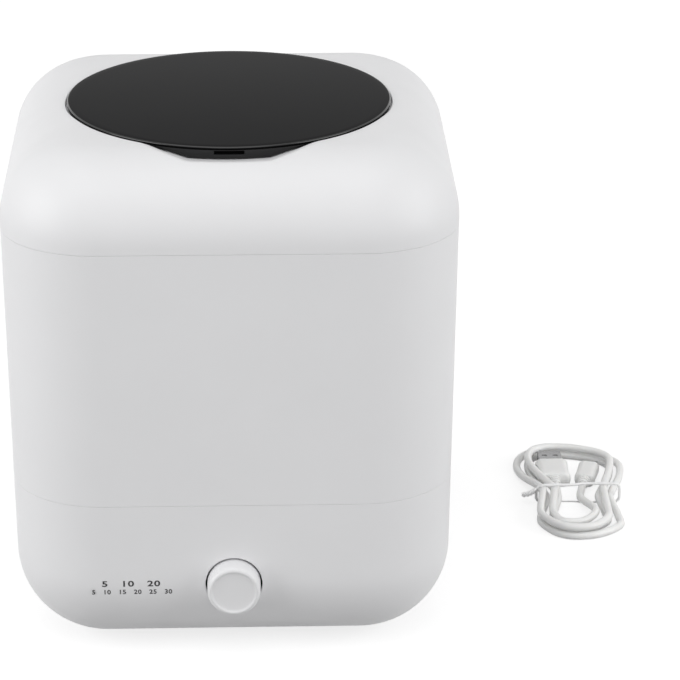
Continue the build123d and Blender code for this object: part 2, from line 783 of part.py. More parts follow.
def make_drive_gear():
    """The big gear on the drive shaft, dished and with lightening holes."""
    high = gear_low_z + gear_width
    space_first = 90 + 180 / gear_teeth
    gear = extrude(Pos(0, 0, gear_low_z) * gear_face(gear_teeth, space_first, 1), amount=gear_width)
    rim = gear_module * gear_teeth / 2 - gear_rim
    gear -= pipe(rim, gear_hub_radius, high - gear_width * 0.35, high + 1)
    hole_radius = (rim - gear_hub_radius) / 2 - gear_web_edge
    for k in range(gear_web_holes):
        hole = rod(hole_radius, gear_low_z - 1, high + 1, (rim + gear_hub_radius) / 2, 0, post_sides)
        gear -= Rot(0, 0, 360 * k / gear_web_holes) * hole
    gear += rod(gear_hub_radius, high - 1, high + gear_cover_gap * 0.6)
    gear -= keyed_rod(shaft_radius, shaft_flat, gear_low_z - 1, high)
    return gear - bore(shaft_radius, high, high + gear_cover_gap)


def make_pinion():
    """The small gear pressed on the motor's shaft."""
    pinion = extrude(Pos(0, 0, gear_low_z) * gear_face(pinion_teeth, -90, 2), amount=gear_width)
    pinion = Pos(0, motor_distance, 0) * pinion
    return pinion - bore(motor_shaft_radius, gear_low_z - 1, gear_low_z + gear_width + 1, 0, motor_distance)


def hull_around(circles):
    """The tight outline around circles given as (x, y, radius)."""
    edges = ShapeList()
    for x, y, radius in circles:
        edges += (Pos(x, y) * round_face(radius)).edges()
    return make_hull(edges)


def make_gear_plate():
    """The plate under the gears that carries the motor, the lower bearing and the gear cover."""
    around = [(x, y, mount_post_radius + 3) for x, y in plate_posts]
    around.append((0, motor_distance, motor_radius + 1.5))
    plate = extrude(Pos(0, 0, gear_plate_low_z) * hull_around(around), amount=gear_plate_thickness)
    low, high = gear_plate_low_z - 1, gear_plate_z + 1
    for x, y in plate_posts:
        plate -= bore(small_screw_radius + 0.2, low, high, x, y, screw_sides)
    for x, y in gear_cover_ears:
        plate -= rod(small_screw_radius, low, high, x, y, screw_sides)
    for side in (-motor_screw_side, motor_screw_side):
        head_low = gear_plate_z - small_head_height
        plate -= bore(small_screw_radius + 0.1, low, high, side, motor_distance, screw_sides)
        plate -= bore(small_head_radius + 0.2, head_low, high, side, motor_distance, screw_sides)
    plate -= bore(motor_neck_radius + 0.1, low, high, 0, motor_distance)
    return plate - rod(bush_radius, low, high)


def gear_cover_outline(grow):
    """Around both gears seen from above, grown outwards."""
    gear_tip = gear_module * (gear_teeth / 2 + tooth_addendum) + gear_cover_gap + grow
    pinion_tip = gear_module * (pinion_teeth / 2 + tooth_addendum) + gear_cover_gap + grow
    return hull_around([(0, 0, gear_tip), (0, motor_distance, pinion_tip)])


def make_gear_cover():
    """The shallow cap that keeps the grease on the gears, with its top edge cut back."""
    inside = gear_low_z - gear_plate_z + gear_width + gear_cover_gap
    ear_top = gear_plate_z + gear_ear_height
    ears = Part()
    for x, y in gear_cover_ears:
        near = x - 8 if x > 0 else x + 8
        ears += rod(mount_post_radius, gear_plate_z, ear_top, x, y, post_sides)
        left, right = min(x, near), max(x, near)
        ears += box(left, right, y - mount_post_radius, y + mount_post_radius, gear_plate_z, ear_top)
    outline = Pos(0, 0, gear_plate_z) * gear_cover_outline(gear_cover_wall)
    cap = extrude(outline, amount=inside + gear_cover_wall)
    cap = chamfer(cap.edges().group_by(Axis.Z)[-1], gear_cover_wall * 0.6) + ears
    cap -= extrude(Pos(0, 0, gear_plate_z - 1) * gear_cover_outline(0), amount=inside + 1)
    for x, y in gear_cover_ears:
        cap -= bore(small_screw_radius + 0.2, gear_plate_z - 1, ear_top + 1, x, y, screw_sides)
    return cap - bore(shaft_radius + 1, gear_plate_z, body_top)


def make_gear_cover_screws():
    """Two short screws down through the cover's ears into the plate."""
    screws = Part()
    top = gear_plate_z + gear_ear_height
    for x, y in gear_cover_ears:
        screws += screw_down(
            x, y, top, top - gear_plate_low_z, small_screw_radius, small_head_radius, small_head_height,
        )
    return screws


def make_plate_screws():
    """Four screws up through the gear plate into the tub's posts."""
    screws = Part()
    for x, y in plate_posts:
        screws += screw_up(
            x, y, gear_plate_low_z, gear_plate_thickness + plate_screw_grip - 0.5,
            small_screw_radius, small_head_radius, small_head_height,
        )
    return screws


def make_motor_can():
    """The drawn steel can of the motor with its neck and screw holes."""
    high = gear_plate_low_z
    low = high - motor_length + motor_cap_height
    edge = motor_can_edge
    can = turned([(motor_radius, low), (motor_radius, high - edge), (motor_radius - edge, high)])
    can = Pos(0, motor_distance, 0) * can
    can += rod(motor_neck_radius, high - 1, high + motor_neck_height, 0, motor_distance)
    for side in (-motor_screw_side, motor_screw_side):
        can -= rod(small_screw_radius, high - motor_screw_grip, high + 1, side, motor_distance, screw_sides)
    return can - bore(motor_shaft_radius + running_gap, high - motor_shaft_grip, high + 5, 0, motor_distance)


def make_motor_cap():
    """The moulded end of the motor with the slots for its terminals."""
    low = gear_plate_low_z - motor_length
    cap = rod(motor_radius - 0.6, low + 1.2, low + motor_cap_height, 0, motor_distance)
    cap += rod(motor_neck_radius, low, low + 2, 0, motor_distance)
    for side in (-1, 1):
        cap -= terminal_tab(side)
    return cap


def terminal_tab(side):
    """One flat terminal, half in the end cap and half below it."""
    low = gear_plate_low_z - motor_length
    x, y = side * motor_terminal_side, motor_distance
    return box(x - 0.3, x + 0.3, y - 1.4, y + 1.4, low - 3.5, low + motor_cap_height)


def make_motor_terminals():
    return terminal_tab(-1) + terminal_tab(1)


def make_motor_shaft():
    """The motor's shaft, from inside the can to the top of the pinion."""
    low = gear_plate_low_z - motor_shaft_grip + 0.5
    return axle(motor_shaft_radius, low, gear_low_z + gear_width, 0, motor_distance)


def make_motor_screws():
    """Two sunk screws down through the plate into the motor's face."""
    screws = Part()
    head_low = gear_plate_z - small_head_height
    length = head_low - gear_plate_low_z + motor_screw_grip - 0.5
    for side in (-motor_screw_side, motor_screw_side):
        screws += screw_down(
            side, motor_distance, head_low, length, small_screw_radius, small_head_radius, small_head_height,
        )
    return screws


def make_control_knob():
    """The turn-and-push knob: a slightly tapered cup with a rounded lip and a dished face."""
    face_y = front_y - knob_reach
    tail_y = front_y + knob_inset
    big = knob_hole_radius - knob_gap
    front = big - knob_draft
    profile = [(front - knob_lip * (1 - s), knob_lip * (1 - c)) for c, s in quarter_turns(small_steps)]
    profile.append((big, tail_y - face_y))
    cup = Pos(0, face_y, knob_z) * Rot(-90, 0, 0) * turned(profile)
    cup -= rod_y(front - knob_lip, face_y - 1, face_y + knob_dish, 0, knob_z)
    cup -= rod_y(front - knob_wall, face_y + knob_dish + knob_wall, tail_y + 1, 0, knob_z)
    cup += rod_y(knob_boss_radius, face_y + knob_dish + 1, encoder_neck_y - 1.0 - knob_travel, 0, knob_z)
    return cup - encoder_shaft_form()


def encoder_shaft_form():
    """The encoder's shaft with the flat that the knob is keyed to."""
    tip = front_y - knob_reach + knob_dish + knob_wall
    shaft = axle_y(encoder_shaft_radius, tip, board_y - encoder_shaft_end, 0, knob_z)
    flat_low = knob_z + encoder_shaft_radius - shaft_flat
    return shaft - box(-4, 4, tip - 1, encoder_neck_y - 2 - knob_travel, flat_low, knob_z + 5)


def make_encoder_body():
    """The encoder's square body with its round neck, hollow for the shaft and the push plunger."""
    half = encoder_size / 2
    body = box(-half, half, board_y - encoder_depth, board_y, knob_z - half, knob_z + half)
    body += rod_y(encoder_neck_radius, encoder_neck_y, board_y - encoder_depth + 1, 0, knob_z)
    return body - bore_y(encoder_shaft_radius + running_gap, encoder_neck_y - 1, board_y - 0.6, 0, knob_z)


def make_switch_plunger():
    """The push switch's plunger behind the end of the shaft."""
    low = board_y - encoder_shaft_end
    return rod_y(plunger_radius, low, low + plunger_length, 0, knob_z)


def make_control_board():
    """The circuit board behind the knob, on its four standoffs."""
    half = board_width / 2
    rise = board_height / 2
    board = box(-half, half, board_y, board_y + board_thickness, knob_z - rise, knob_z + rise)
    for x in (-board_screw_side, board_screw_side):
        for z in (knob_z - board_screw_rise, knob_z + board_screw_rise):
            far = board_y + board_thickness + 1
            board -= bore_y(small_screw_radius + 0.2, board_y - 1, far, x, z, screw_sides)
    return board


def make_board_parts():
    """What is soldered on the back of the board: driver chip, capacitor, buzzer and two connectors."""
    back = board_y + board_thickness
    chip = box(-14, -8, back, back + 1.6, knob_z - 2.5, knob_z + 2.5)
    capacitor = rod_y(4.0, back, back + 9.0, 13, knob_z + 9)
    buzzer = rod_y(5.0, back, back + 4.5, -13, knob_z + 11) - rod_y(1.0, back + 3, back + 6, -13, knob_z + 11)
    parts = chip + capacitor + buzzer
    for x in (-8, 8):
        socket = box(x - 4, x + 4, back, back + 6, knob_z - 14, knob_z - 8)
        parts += socket - box(x - 3.2, x + 3.2, back + 1, back + 7, knob_z - 13.2, knob_z - 8.8)
    return parts


def make_board_screws():
    """Four screws through the board into its standoffs."""
    screws = Part()
    back = board_y + board_thickness
    for x in (-board_screw_side, board_screw_side):
        for z in (knob_z - board_screw_rise, knob_z + board_screw_rise):
            screws += rod_y(small_screw_radius, back - board_screw_length, back, x, z, screw_sides)
            screws += rod_y(small_head_radius, back, back + small_head_height, x, z, screw_sides)
    return screws


def socket_block(width, height, near, far):
    """A socket-shaped block along Y: a slot-sized box with its two lower corners cut off."""
    half, rise = width / 2, height / 2
    outline = Polygon(
        (-half, rise), (-half, 0), (-half + rise, -rise), (half - rise, -rise), (half, 0), (half, rise),
        align=None,
    )
    return Pos(0, far, socket_z) * extrude(Plane.XZ * outline, amount=far - near)


def make_power_socket():
    """The metal shell of the charging socket, open towards the back."""
    far = back_y - socket_setback
    near = far - socket_depth
    shell = socket_block(socket_width, socket_thick, near, far)
    return shell - socket_block(
        socket_width - 2 * socket_skin, socket_thick - 2 * socket_skin, near + socket_skin, far + 1,
    )


def make_socket_tongue():
    """The contact carrier inside the socket."""
    far = back_y - socket_setback
    near = far - socket_depth + socket_skin
    return box(-1.9, 1.9, near, far - 1.2, socket_z, socket_z + 0.7)


def make_socket_board():
    """The small board that carries the socket."""
    half = socket_board_width / 2
    top = socket_board_low + socket_board_thickness
    return box(-half, half, socket_board_y - socket_board_depth, socket_board_y, socket_board_low, top)


def cord_height(layer, tied=False):
    """Height of the cord's middle in a layer of the hank, a little more where the tie passes under."""
    lift = tie_thickness + tie_gap if tied else 0.0
    return cord_diameter / 2 + lift + layer * (cord_diameter + layer_gap)


def hank_route():
    """Where the cord passes and which way it runs: (u, v, height, (du, dv)), seen from the tie.

    It leaves the flat plug down the left of the tie and comes up on the right of it. The loops grow
    outwards on the floor, climb a layer in the middle one, and shrink inwards again on top.
    """
    pitch = cord_diameter + strand_gap
    up, down, left, right = (0, 1), (0, -1), (-1, 0), (1, 0)
    half_tie = tie_width / 2 + 0.7
    route = [
        (-waist_left, lead_end, flat_plug_height, down),
        (-waist_left, lead_end - cord_diameter, flat_plug_height, down),
    ]
    for k in range(top_loops + 1):
        layer_in = 1 if k > top_loops / 2 else 0
        layer_out = 1 if k >= top_loops / 2 else 0
        rank = min(k, top_loops - k)
        rank_out = min(k, top_loops - 1 - k)
        u_in = -(waist_left + rank * pitch + layer_in * layer_shift)
        u_out = waist_right + rank_out * pitch + layer_out * layer_shift
        last = k == top_loops
        z_in, z_out = cord_height(layer_in), cord_height(layer_out)
        route.append((u_in, half_tie, cord_height(layer_in, True), down))
        route.append((u_in, -half_tie, cord_height(layer_in, True), down))
        route.append((-(low_half + rank * low_pitch), -low_bend, z_in, down))
        route.append((low_lean + rank * low_lean_step, -(low_reach + rank * low_pitch), z_in, right))
        side = low_half_right + rank_out * low_pitch
        route.append((side, -low_bend - low_bend_step * rank, z_out, up))
        if last:
            break
        route.append((u_out, -half_tie, cord_height(layer_out, True), up))
        route.append((u_out, half_tie, cord_height(layer_out, True), up))
        wide = top_half + rank_out * pitch
        high = top_reach + rank_out * pitch
        route.append((wide, top_bend_low, z_out, up))
        route.append((wide, top_bend_right, z_out, up))
        route.append((-top_lean, high, z_out, left))
        route.append((-wide, top_bend_left, z_out, down))
        route.append((-wide, top_bend_low, z_out, down))
    a = radians(micro_tilt)
    along = (sin(a), cos(a))
    start = (micro_u - cord_diameter * along[0], lead_end - cord_diameter * along[1])
    z_tie = cord_height(0, True)
    route.append((waist_back, -half_tie, z_tie, up))
    route.append((waist_back, half_tie, z_tie, up))
    route.append((start[0], start[1], micro_plug_height, along))
    route.append((micro_u, lead_end, micro_plug_height, along))
    return route


def biarc(p, t, q, s):
    """Two arcs that leave p along t, reach q along s and meet smoothly on the way."""
    v = q - p
    both = t + s
    k = 2 * (1 - t.dot(s))
    if k < 1e-9:
        d = v.dot(v) / (4 * v.dot(t))
    else:
        d = (-v.dot(both) + sqrt(v.dot(both) ** 2 + k * v.dot(v))) / k
    corner = p + t * d
    middle = (corner + (q - s * d)) / 2
    return [TangentArc(p, middle, tangent=t), TangentArc(middle, q, tangent=(middle - corner).normalized())]


def hank_edges():
    """The cord's line from plug to plug, in runs and arcs that join smoothly."""
    route = [(Vector(u, v, z), Vector(d[0], d[1], 0)) for u, v, z, d in hank_route()]
    edges = []
    for (p, t), (q, s) in zip(route, route[1:]):
        straight = (q - p).normalized()
        if straight.dot(t) > 0.99999 and straight.dot(s) > 0.99999:
            edges.append(Line(p, q))
        else:
            edges += biarc(p, t, q, s)
    return edges


def hank_frame():
    """From the tie's own place to the floor beside the machine."""
    return Pos(hank_x, hank_y, 0)


def make_cord_hank():
    """The whole cord as one unbroken tube, from the flat plug to the micro plug."""
    edges = hank_edges()
    report_cord(edges)
    line = Wire(edges)
    start = Plane(origin=line @ 0, z_dir=line % 0)
    section = start * RegularPolygon(cord_diameter / 2, cord_sides, rotation=180 / cord_sides)
    tube = sweep(section, path=line)
    print(f"cord volume over section times length {tube.volume / (section.area * line.length):.4f}")
    return hank_frame() * tube


def report_cord(edges):
    """Print the cord's length, its tightest bend and its least gap to itself."""
    radii = [edge.radius for edge in edges if edge.geom_type == GeomType.CIRCLE]
    places = []
    run = 0.0
    for edge in edges:
        count = max(2, round(edge.length))
        places += [(run + edge.length * k / count, edge @ (k / count)) for k in range(count)]
        run += edge.length
    least = body_width
    for i, (at, p) in enumerate(places):
        for further, q in places[i:]:
            if further - at > 4 * cord_diameter:
                least = min(least, (p - q).length - cord_diameter)
    print(f"cord length {run:.1f}, tightest bend {min(radii):.1f}, least gap {least:.2f}")


def make_cord_tie():
    """The twisted white tie round the waist of the hank."""
    pitch = cord_diameter + strand_gap
    left = -(waist_left + pitch * (top_loops / 2)) - cord_diameter / 2 - tie_gap
    right = waist_right + pitch + layer_shift + cord_diameter / 2 + tie_gap
    low = cord_height(0, True) - cord_diameter / 2 - tie_gap
    high = cord_height(1, True) + cord_diameter / 2 + tie_gap
    half_x, half_z, corner = (right - left) / 2, (high - low) / 2, cord_diameter / 2
    hole = Polygon(*rounded_outline(half_x, half_z, corner, small_steps), align=None)
    half_x, half_z, corner = half_x + tie_thickness, half_z + tie_thickness, corner + tie_thickness
    around = Polygon(*rounded_outline(half_x, half_z, corner, small_steps), align=None)
    middle = Vector((left + right) / 2, tie_width / 2, (low + high) / 2)
    band = Pos(middle) * extrude(Plane.XZ * (around - hole), amount=tie_width)
    start = Vector(left - tie_thickness / 2, 0, high - cord_diameter / 2)
    way = Vector(-0.8, -0.25, -0.55).normalized()
    tail = extrude(Plane(origin=start, z_dir=way) * round_face(tie_thickness, screw_sides), amount=tie_tail)
    return hank_frame() * (band + tail)


def flat_plug_frame():
    return hank_frame() * Pos(-waist_left, lead_end, flat_plug_height)


def micro_plug_frame():
    return hank_frame() * Pos(micro_u, lead_end, micro_plug_height) * Rot(0, 0, -micro_tilt)


def relief(length, root, tip):
    """A tapered strain relief along Y from 0 to length, with rings left standing by its grooves."""
    groove = length / (4 * relief_grooves)
    profile = [(tip, 0.0)]
    for k in range(relief_grooves):
        y = length * (k + 0.4) / relief_grooves
        ring = tip + (root - tip) * y / length
        profile += [(ring, y), (ring - relief_groove_depth, y), (ring - relief_groove_depth, y + groove)]
        profile.append((ring, y + groove))
    profile.append((root, length))
    return Rot(-90, 0, 0) * turned(profile, post_sides)


def plug_grip(width, thickness, length, shoulder):
    """A soft-edged handle along Y, standing on the strain relief's end."""
    half_x, half_z, corner = width / 2, thickness / 2, thickness * 0.42
    rings = []
    for y, drawn_in in ((0, shoulder), (shoulder, 0), (length, 0)):
        outline = rounded_outline(half_x - drawn_in, half_z - drawn_in, corner - drawn_in, small_steps)
        rings.append([(x, relief_length + y, z) for x, z in outline][::-1])
    return skin(rings)


def make_flat_plug_grip():
    """The moulded handle of the flat plug with its strain relief."""
    grip = plug_grip(flat_grip_width, 2 * flat_plug_height, flat_grip_length, grip_shoulder)
    grip += relief(relief_length + 0.5, relief_root, relief_tip)
    return flat_plug_frame() * grip


def make_micro_plug_grip():
    """The moulded handle of the micro plug with its strain relief."""
    grip = plug_grip(micro_grip_width, 2 * micro_plug_height, micro_grip_length, grip_shoulder)
    grip += relief(relief_length + 0.5, relief_root, relief_tip)
    return micro_plug_frame() * grip


def make_flat_plug_shell():
    """The flat plug's folded steel shell with its two latch windows."""
    start = relief_length + flat_grip_length
    half, rise = flat_shell_width / 2, flat_shell_thickness / 2
    shell = box(-half, half, start, start + flat_shell_length, -rise, rise)
    skin = plug_skin
    inside, high = half - skin, rise - skin
    shell -= box(-inside, inside, start + skin, start + flat_shell_length + 1, -high, high)
    for x in (-flat_window_side, flat_window_side):
        y = start + flat_shell_length * 0.55
        shell -= box(x - 1.1, x + 1.1, y - 1.1, y + 1.1, 0, rise + 1)
    return flat_plug_frame() * shell


def make_flat_plug_insert():
    """The white contact carrier in the lower half of the flat plug."""
    start = relief_length + flat_grip_length + plug_skin
    half = flat_shell_width / 2 - plug_skin
    rise = flat_shell_thickness / 2 - plug_skin
    carrier = box(-half, half, start, start + flat_shell_length - 1, -rise, -rise + 1.9)
    return flat_plug_frame() * carrier


def make_micro_plug_shell():
    """The micro plug's steel tip, its two lower corners cut off."""
    start = relief_length + micro_grip_length
    half, rise = micro_shell_width / 2, micro_shell_thickness / 2
    outline = Polygon(
        (-half, rise), (-half, -rise * 0.2), (-half + rise * 0.8, -rise),
        (half - rise * 0.8, -rise), (half, -rise * 0.2), (half, rise), align=None,
    )
    tip = Pos(0, start + micro_shell_length, 0) * extrude(Plane.XZ * outline, amount=micro_shell_length)
    mouth = box(
        -half + 2 * plug_skin, half - 2 * plug_skin, start + micro_shell_length - 4,
        start + micro_shell_length + 1, -rise * 0.1, rise - plug_skin,
    )
    return micro_plug_frame() * (tip - mouth)


def main():
    outer = body_form(0)
    lap_form = body_form(lap)
    inner = body_form(wall)
    lip = body_form(lap + lip_clearance) - inner
    nodes = {
        "top_cover": make_top_cover(outer, inner, lap_form),
        "middle_housing": make_middle_housing(outer, inner, lap_form, lip),
        "base_housing": make_base_housing(outer, inner, lip),
        "rubber_feet": make_rubber_feet(),
        "base_screws": make_base_screws(),
        "cover_screws": make_cover_screws(),
        "lid_panel": make_lid_panel(),
        "lid_frame": make_lid_frame(),
        "lid_gasket": make_lid_gasket(),
        "wash_tub": make_wash_tub(),
        "tub_seal": make_tub_seal(),
        "shaft_seal": make_shaft_seal(),
        "upper_bush": make_upper_bush(),
        "lower_bush": make_lower_bush(),
        "pulsator": make_pulsator(),
        "pulsator_screw": make_pulsator_screw(),
        "drive_shaft": make_drive_shaft(),
        "shaft_clip": make_shaft_clip(),
        "drive_gear": make_drive_gear(),
        "gear_plate": make_gear_plate(),
        "gear_cover": make_gear_cover(),
        "gear_cover_screws": make_gear_cover_screws(),
        "plate_screws": make_plate_screws(),
        "motor_can": make_motor_can(),
        "motor_cap": make_motor_cap(),
        "motor_terminals": make_motor_terminals(),
        "motor_shaft": make_motor_shaft(),
        "motor_pinion": make_pinion(),
        "motor_screws": make_motor_screws(),
        "control_knob": make_control_knob(),
        "encoder_shaft": encoder_shaft_form(),
        "encoder_body": make_encoder_body(),
        "switch_plunger": make_switch_plunger(),
        "control_board": make_control_board(),
        "board_parts": make_board_parts(),
        "board_screws": make_board_screws(),
        "power_socket": make_power_socket(),
        "socket_tongue": make_socket_tongue(),
        "socket_board": make_socket_board(),
        "cord_hank": make_cord_hank(),
        "cord_tie": make_cord_tie(),
        "flat_plug_grip": make_flat_plug_grip(),
        "flat_plug_shell": make_flat_plug_shell(),
        "flat_plug_insert": make_flat_plug_insert(),
        "micro_plug_grip": make_micro_plug_grip(),
        "micro_plug_shell": make_micro_plug_shell(),
    }
    os.makedirs("parts", exist_ok=True)
    for name, shape in nodes.items():
        export_step(Pos(0, origin_shift, 0) * shape, f"parts/{name}.step")


if __name__ == "__main__":
    main()
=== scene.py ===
import bpy
import bmesh
import json
from math import atan2, cos, pi, radians, sin, sqrt, tan
from mathutils import Matrix, Vector


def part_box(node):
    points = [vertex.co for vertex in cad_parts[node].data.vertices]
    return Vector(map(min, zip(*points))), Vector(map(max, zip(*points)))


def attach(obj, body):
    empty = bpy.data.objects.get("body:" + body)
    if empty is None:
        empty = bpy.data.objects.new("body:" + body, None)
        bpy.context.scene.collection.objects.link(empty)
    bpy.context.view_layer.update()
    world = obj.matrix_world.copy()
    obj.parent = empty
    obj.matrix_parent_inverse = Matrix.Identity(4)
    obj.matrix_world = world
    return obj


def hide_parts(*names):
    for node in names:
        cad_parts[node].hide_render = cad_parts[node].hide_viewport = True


# The dressed portable washing machine. Shapes are worked out in millimetres about the machine's own
# upright axis, with the part's own main sizes, and become metres in the row's frame when a mesh is made.

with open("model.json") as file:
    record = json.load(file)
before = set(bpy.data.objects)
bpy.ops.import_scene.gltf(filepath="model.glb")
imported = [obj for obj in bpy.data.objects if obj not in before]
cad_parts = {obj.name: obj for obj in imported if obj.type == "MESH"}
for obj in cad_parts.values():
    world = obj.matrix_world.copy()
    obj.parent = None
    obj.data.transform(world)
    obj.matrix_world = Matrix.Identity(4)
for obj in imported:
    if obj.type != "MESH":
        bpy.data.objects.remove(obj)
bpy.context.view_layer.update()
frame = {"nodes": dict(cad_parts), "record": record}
slot_of = {part["node"]: part["material_slot"] for part in frame["record"]["subparts"]}
body_of = {
    node: body for body, nodes in frame["record"]["behaviour"]["bodies"].items() for node in nodes
}
MM = 0.001
AXIS_Y = (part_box("lid_panel")[0].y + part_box("lid_panel")[1].y) / 2 / MM

# Camera, fitted to the photograph's 680 by 680 frame
FRAME_PIXELS = 680
SENSOR_MM = 36.0
FOCAL_PIXELS = 3014.776
CAMERA_PLACE = (0.003935, -1.28728, 0.63394)
CAMERA_YAW = 0.035583
CAMERA_PITCH = 0.382117
CAMERA_ROLL = -0.0029135

# Room
WORLD_LIGHT = 0.37
FLOOR_SIZE = 8
FLOOR_GREY = (0.40, 0.40, 0.40, 1)
FLOOR_LIFT = 0.74
FLOOR_FADE = (0.7, 1.9)        # metres from the middle, where the floor's lift grows to white
WHITE = (1, 1, 1, 1)

# Body
BODY_LOW = 2.0
BODY_TOP = 232.0
HALF_WIDTH = 100.0
TAPER = tan(radians(0.8))
CORNER = 43.5
TOP_ROUNDING = 35.0
LOW_ROUNDING = 39.0
WALL = 2.6
LAP = WALL / 2
LAP_GAP = 0.1
LOWER_SEAM = 77.0
UPPER_SEAM = 194.0
SEAM_GAP = 0.08
SEAM_EDGE = 0.12
SEAM_MID = SEAM_EDGE * (1 - sqrt(0.5))
LIP = 3.0
LIP_GAP = 0.4
SHELL_ANGLES = [radians(k) for k in range(360)]
SHELL_SHARP = 20.0             # keeps the walls flat right up to the seams
STRAIGHT_HEIGHTS = [46.0, 51.0, 56.0, 61.0, 66.0, 71.0, 74.5]
FRONT_COLUMN = 270
BACK_COLUMN = 90
OUTER_BLENDS = (0.72, 0.46, 0.22, 0.08)
INNER_BLENDS = (0.2, 0.6)

# Inside of the base
FOOT_SIDE = 43.0
FOOT_PLACES = [(x, y) for x in (-FOOT_SIDE, FOOT_SIDE) for y in (-FOOT_SIDE, FOOT_SIDE)]
FOOT_RADIUS = 8.0
FOOT_HIGH = 3.3
PILLAR_LOW = 4.0
PILLAR_TOP = 64.0
BOARD_X = 25.0
BOARD_Z = 13.0
BOARD_DEPTH = 20.0
SOCKET_Z = 49.0
SOCKET_RECESS = (6.2, 4.2, 2.4)
SOCKET_SLOT = (4.1, 1.7, 0.6)
SOCKET_DEPTH = 1.5

# Lid, its seat and the finger scoop
LID_RADIUS = 72.2
SEAT_RADIUS = LID_RADIUS + 0.6
SEAT_Z = BODY_TOP - 2.6
SEAT_EDGE = 0.4
FRAME_LOW = SEAT_Z + 0.3
FRAME_RADIUS = LID_RADIUS - 0.4
PANEL_LOW = FRAME_LOW + 1.6
PANEL_THICK = 1.5
PANEL_DOME = 0.75
RIM_HIGHLIGHT_TILT = (0.35, 0.97)       # upward tilt of the rim's faces that get the shinier black, a painted highlight
SCOOP_Z = BODY_TOP - 4.9
SCOOP_LOW_HALF = 17.8
SCOOP_TOP_HALF = 36.5
SCOOP_START = LID_RADIUS - 3.4
SCOOP_SOFT = 0.9
SCOOP_BEND = 1.5
SCOOP_TILT = 0.22              # the floor climbs by this share on its way out
DECK_UNDER = 222.0
DECK_STEPS = 52
DECK_CROWDING = 1.15           # above 1 draws the deck's rows towards the lid
MOUTH = 66.0
NECK_WALL = 2.2
NECK_LOW = SEAT_Z - 2.4 - 12.0
NECK_EDGE = 0.3
LUG_PLACE = 84.5
LUG_HALF = 5.0
LUG_LOW = 208.7
LUG_TOP = 211.7
TAB_GAP = 0.4
TAB_THICK = 2.6
TAB_EDGE = 0.35
TAB_STEPS = 140
SLOT_HALF = 6.5
SLOT_HEIGHT = 1.9
SLOT_DEPTH = 1.6
SLOT_ROOF = 0.2
SKIRT_RADIUS = MOUTH - 0.4 - 2.2
SKIRT_WALL = 2.0
SKIRT_LOW = FRAME_LOW - 10.0
SKIRT_EDGE = 0.4
GROOVE_LOW = SKIRT_LOW + SKIRT_WALL
GROOVE_ROOT = SKIRT_RADIUS - SKIRT_WALL / 2
GASKET_HEIGHT = 3.0

# Tub and pulsator
TUB_FLOOR = 88.0
TUB_RIM = 222.7
TUB_WALL = 2.4
TUB_UNDER = TUB_FLOOR - TUB_WALL
TUB_TOP_RADIUS = 71.0
TUB_FLOOR_RADIUS = 65.0
TUB_CORNER = 9.0
FLANGE_RADIUS = TUB_TOP_RADIUS + TUB_WALL + 5.0
RIBS = 6
RIB_RADIUS = 3.0
RIB_LOW = TUB_FLOOR + 24.0
RIB_HIGH = TUB_FLOOR + 112.0
RIB_END = 5.0
RIB_SIDES = (3.6, 5, 7, 10, 14, 18, 22, 26)
RIB_SHARES = (0.002, 0.01, 0.025, 0.045, 0.07, 0.2, 0.35, 0.5, 0.65, 0.8, 0.93, 0.955, 0.975, 0.99, 0.998)
PLATE_POSTS = ((-34.0, -14.0), (34.0, -14.0), (-26.0, 44.0), (26.0, 44.0))
PULSATOR_LOW = 90.0
PULSATOR_RADIUS = 47.0
PULSATOR_RIM = 3.0
HUB_RADIUS = 8.0
HUB_LOW = 89.0
SHAFT_HOLE = 3.05
SCREW_HOLE = 4.2
CROWN = PULSATOR_LOW + 8.0
SCREW_SEAT = CROWN - 4.0
VANES = 4
VANE_HEIGHT = 15.0
VANE_INNER = 9.0
VANE_OUTER = 44.0
VANE_TURN = radians(48.0)
VANE_POWER = 1.5
VANE_HALF = 3.5
VANE_TIP_HALF = 1.75
VANE_STEPS = 44
DRAIN_PLACE = 39.5
DRAIN_RADIUS = 1.4

# Knob and its printed numbers
KNOB_Z = 38.8
KNOB_HOLE = 12.5
KNOB_REACH = 8.5
KNOB_INSET = 3.4
KNOB_BIG = 11.8
KNOB_FRONT = 11.65
KNOB_LIP = 2.2
KNOB_TAIL = 14.8
INK_SPREAD = 0.022             # of the numbers' size, bolder by this on each side
INK_SPACING = 1.12
INK_THICK = 0.04
INK_OUT = 0.03

# The power lead, about the middle of its tie
HANK_X = 170.0
HANK_Y = 66.0
CORD = 3.8
LAYER_GAP = 0.8
PITCH = CORD + 1.8
TIE_WIDTH = 2.6
TIE_THICK = 0.8
TIE_GAP = 0.3
TIE_RADIUS = 0.7               # of the coated wire, thinner where it lies under the hank
TIE_TAIL = 29
TIE_TURNS = 2.4
TIE_SWIRL = 0.75
TOP_LOOPS = 3
WAIST_LEFT = 9.0
WAIST_RIGHT = 11.0
WAIST_BACK = 2.0
LAYER_SHIFT = 2.2
TOP_HALF = 20.6
TOP_REACH = 54.0
TOP_BEND_LOW = 30.0
TOP_BEND_LEFT = 40.0
TOP_BEND_RIGHT = 34.0
TOP_LEAN = 9.0
LOW_HALF = 14.0
LOW_HALF_RIGHT = 13.0
LOW_REACH = 36.0
LOW_PITCH = 6.0
LOW_BEND = 20.0
LOW_BEND_STEP = 3.0
LOW_LEAN = -6.0
LOW_LEAN_STEP = 3.0
LEAD_END = 13.0
FLAT_HEIGHT = 4.0
MICRO_HEIGHT = 3.7
MICRO_U = 4.6
MICRO_TILT = radians(14.5)
RELIEF = 5.0
FLAT_GRIP = (16.6, 8.0, 18.8, 0.5)       # width, thickness, length, how far the waist draws in
MICRO_GRIP = (10.6, 7.4, 17.0, 0.3)
GRIP_SHOULDER = 1.4
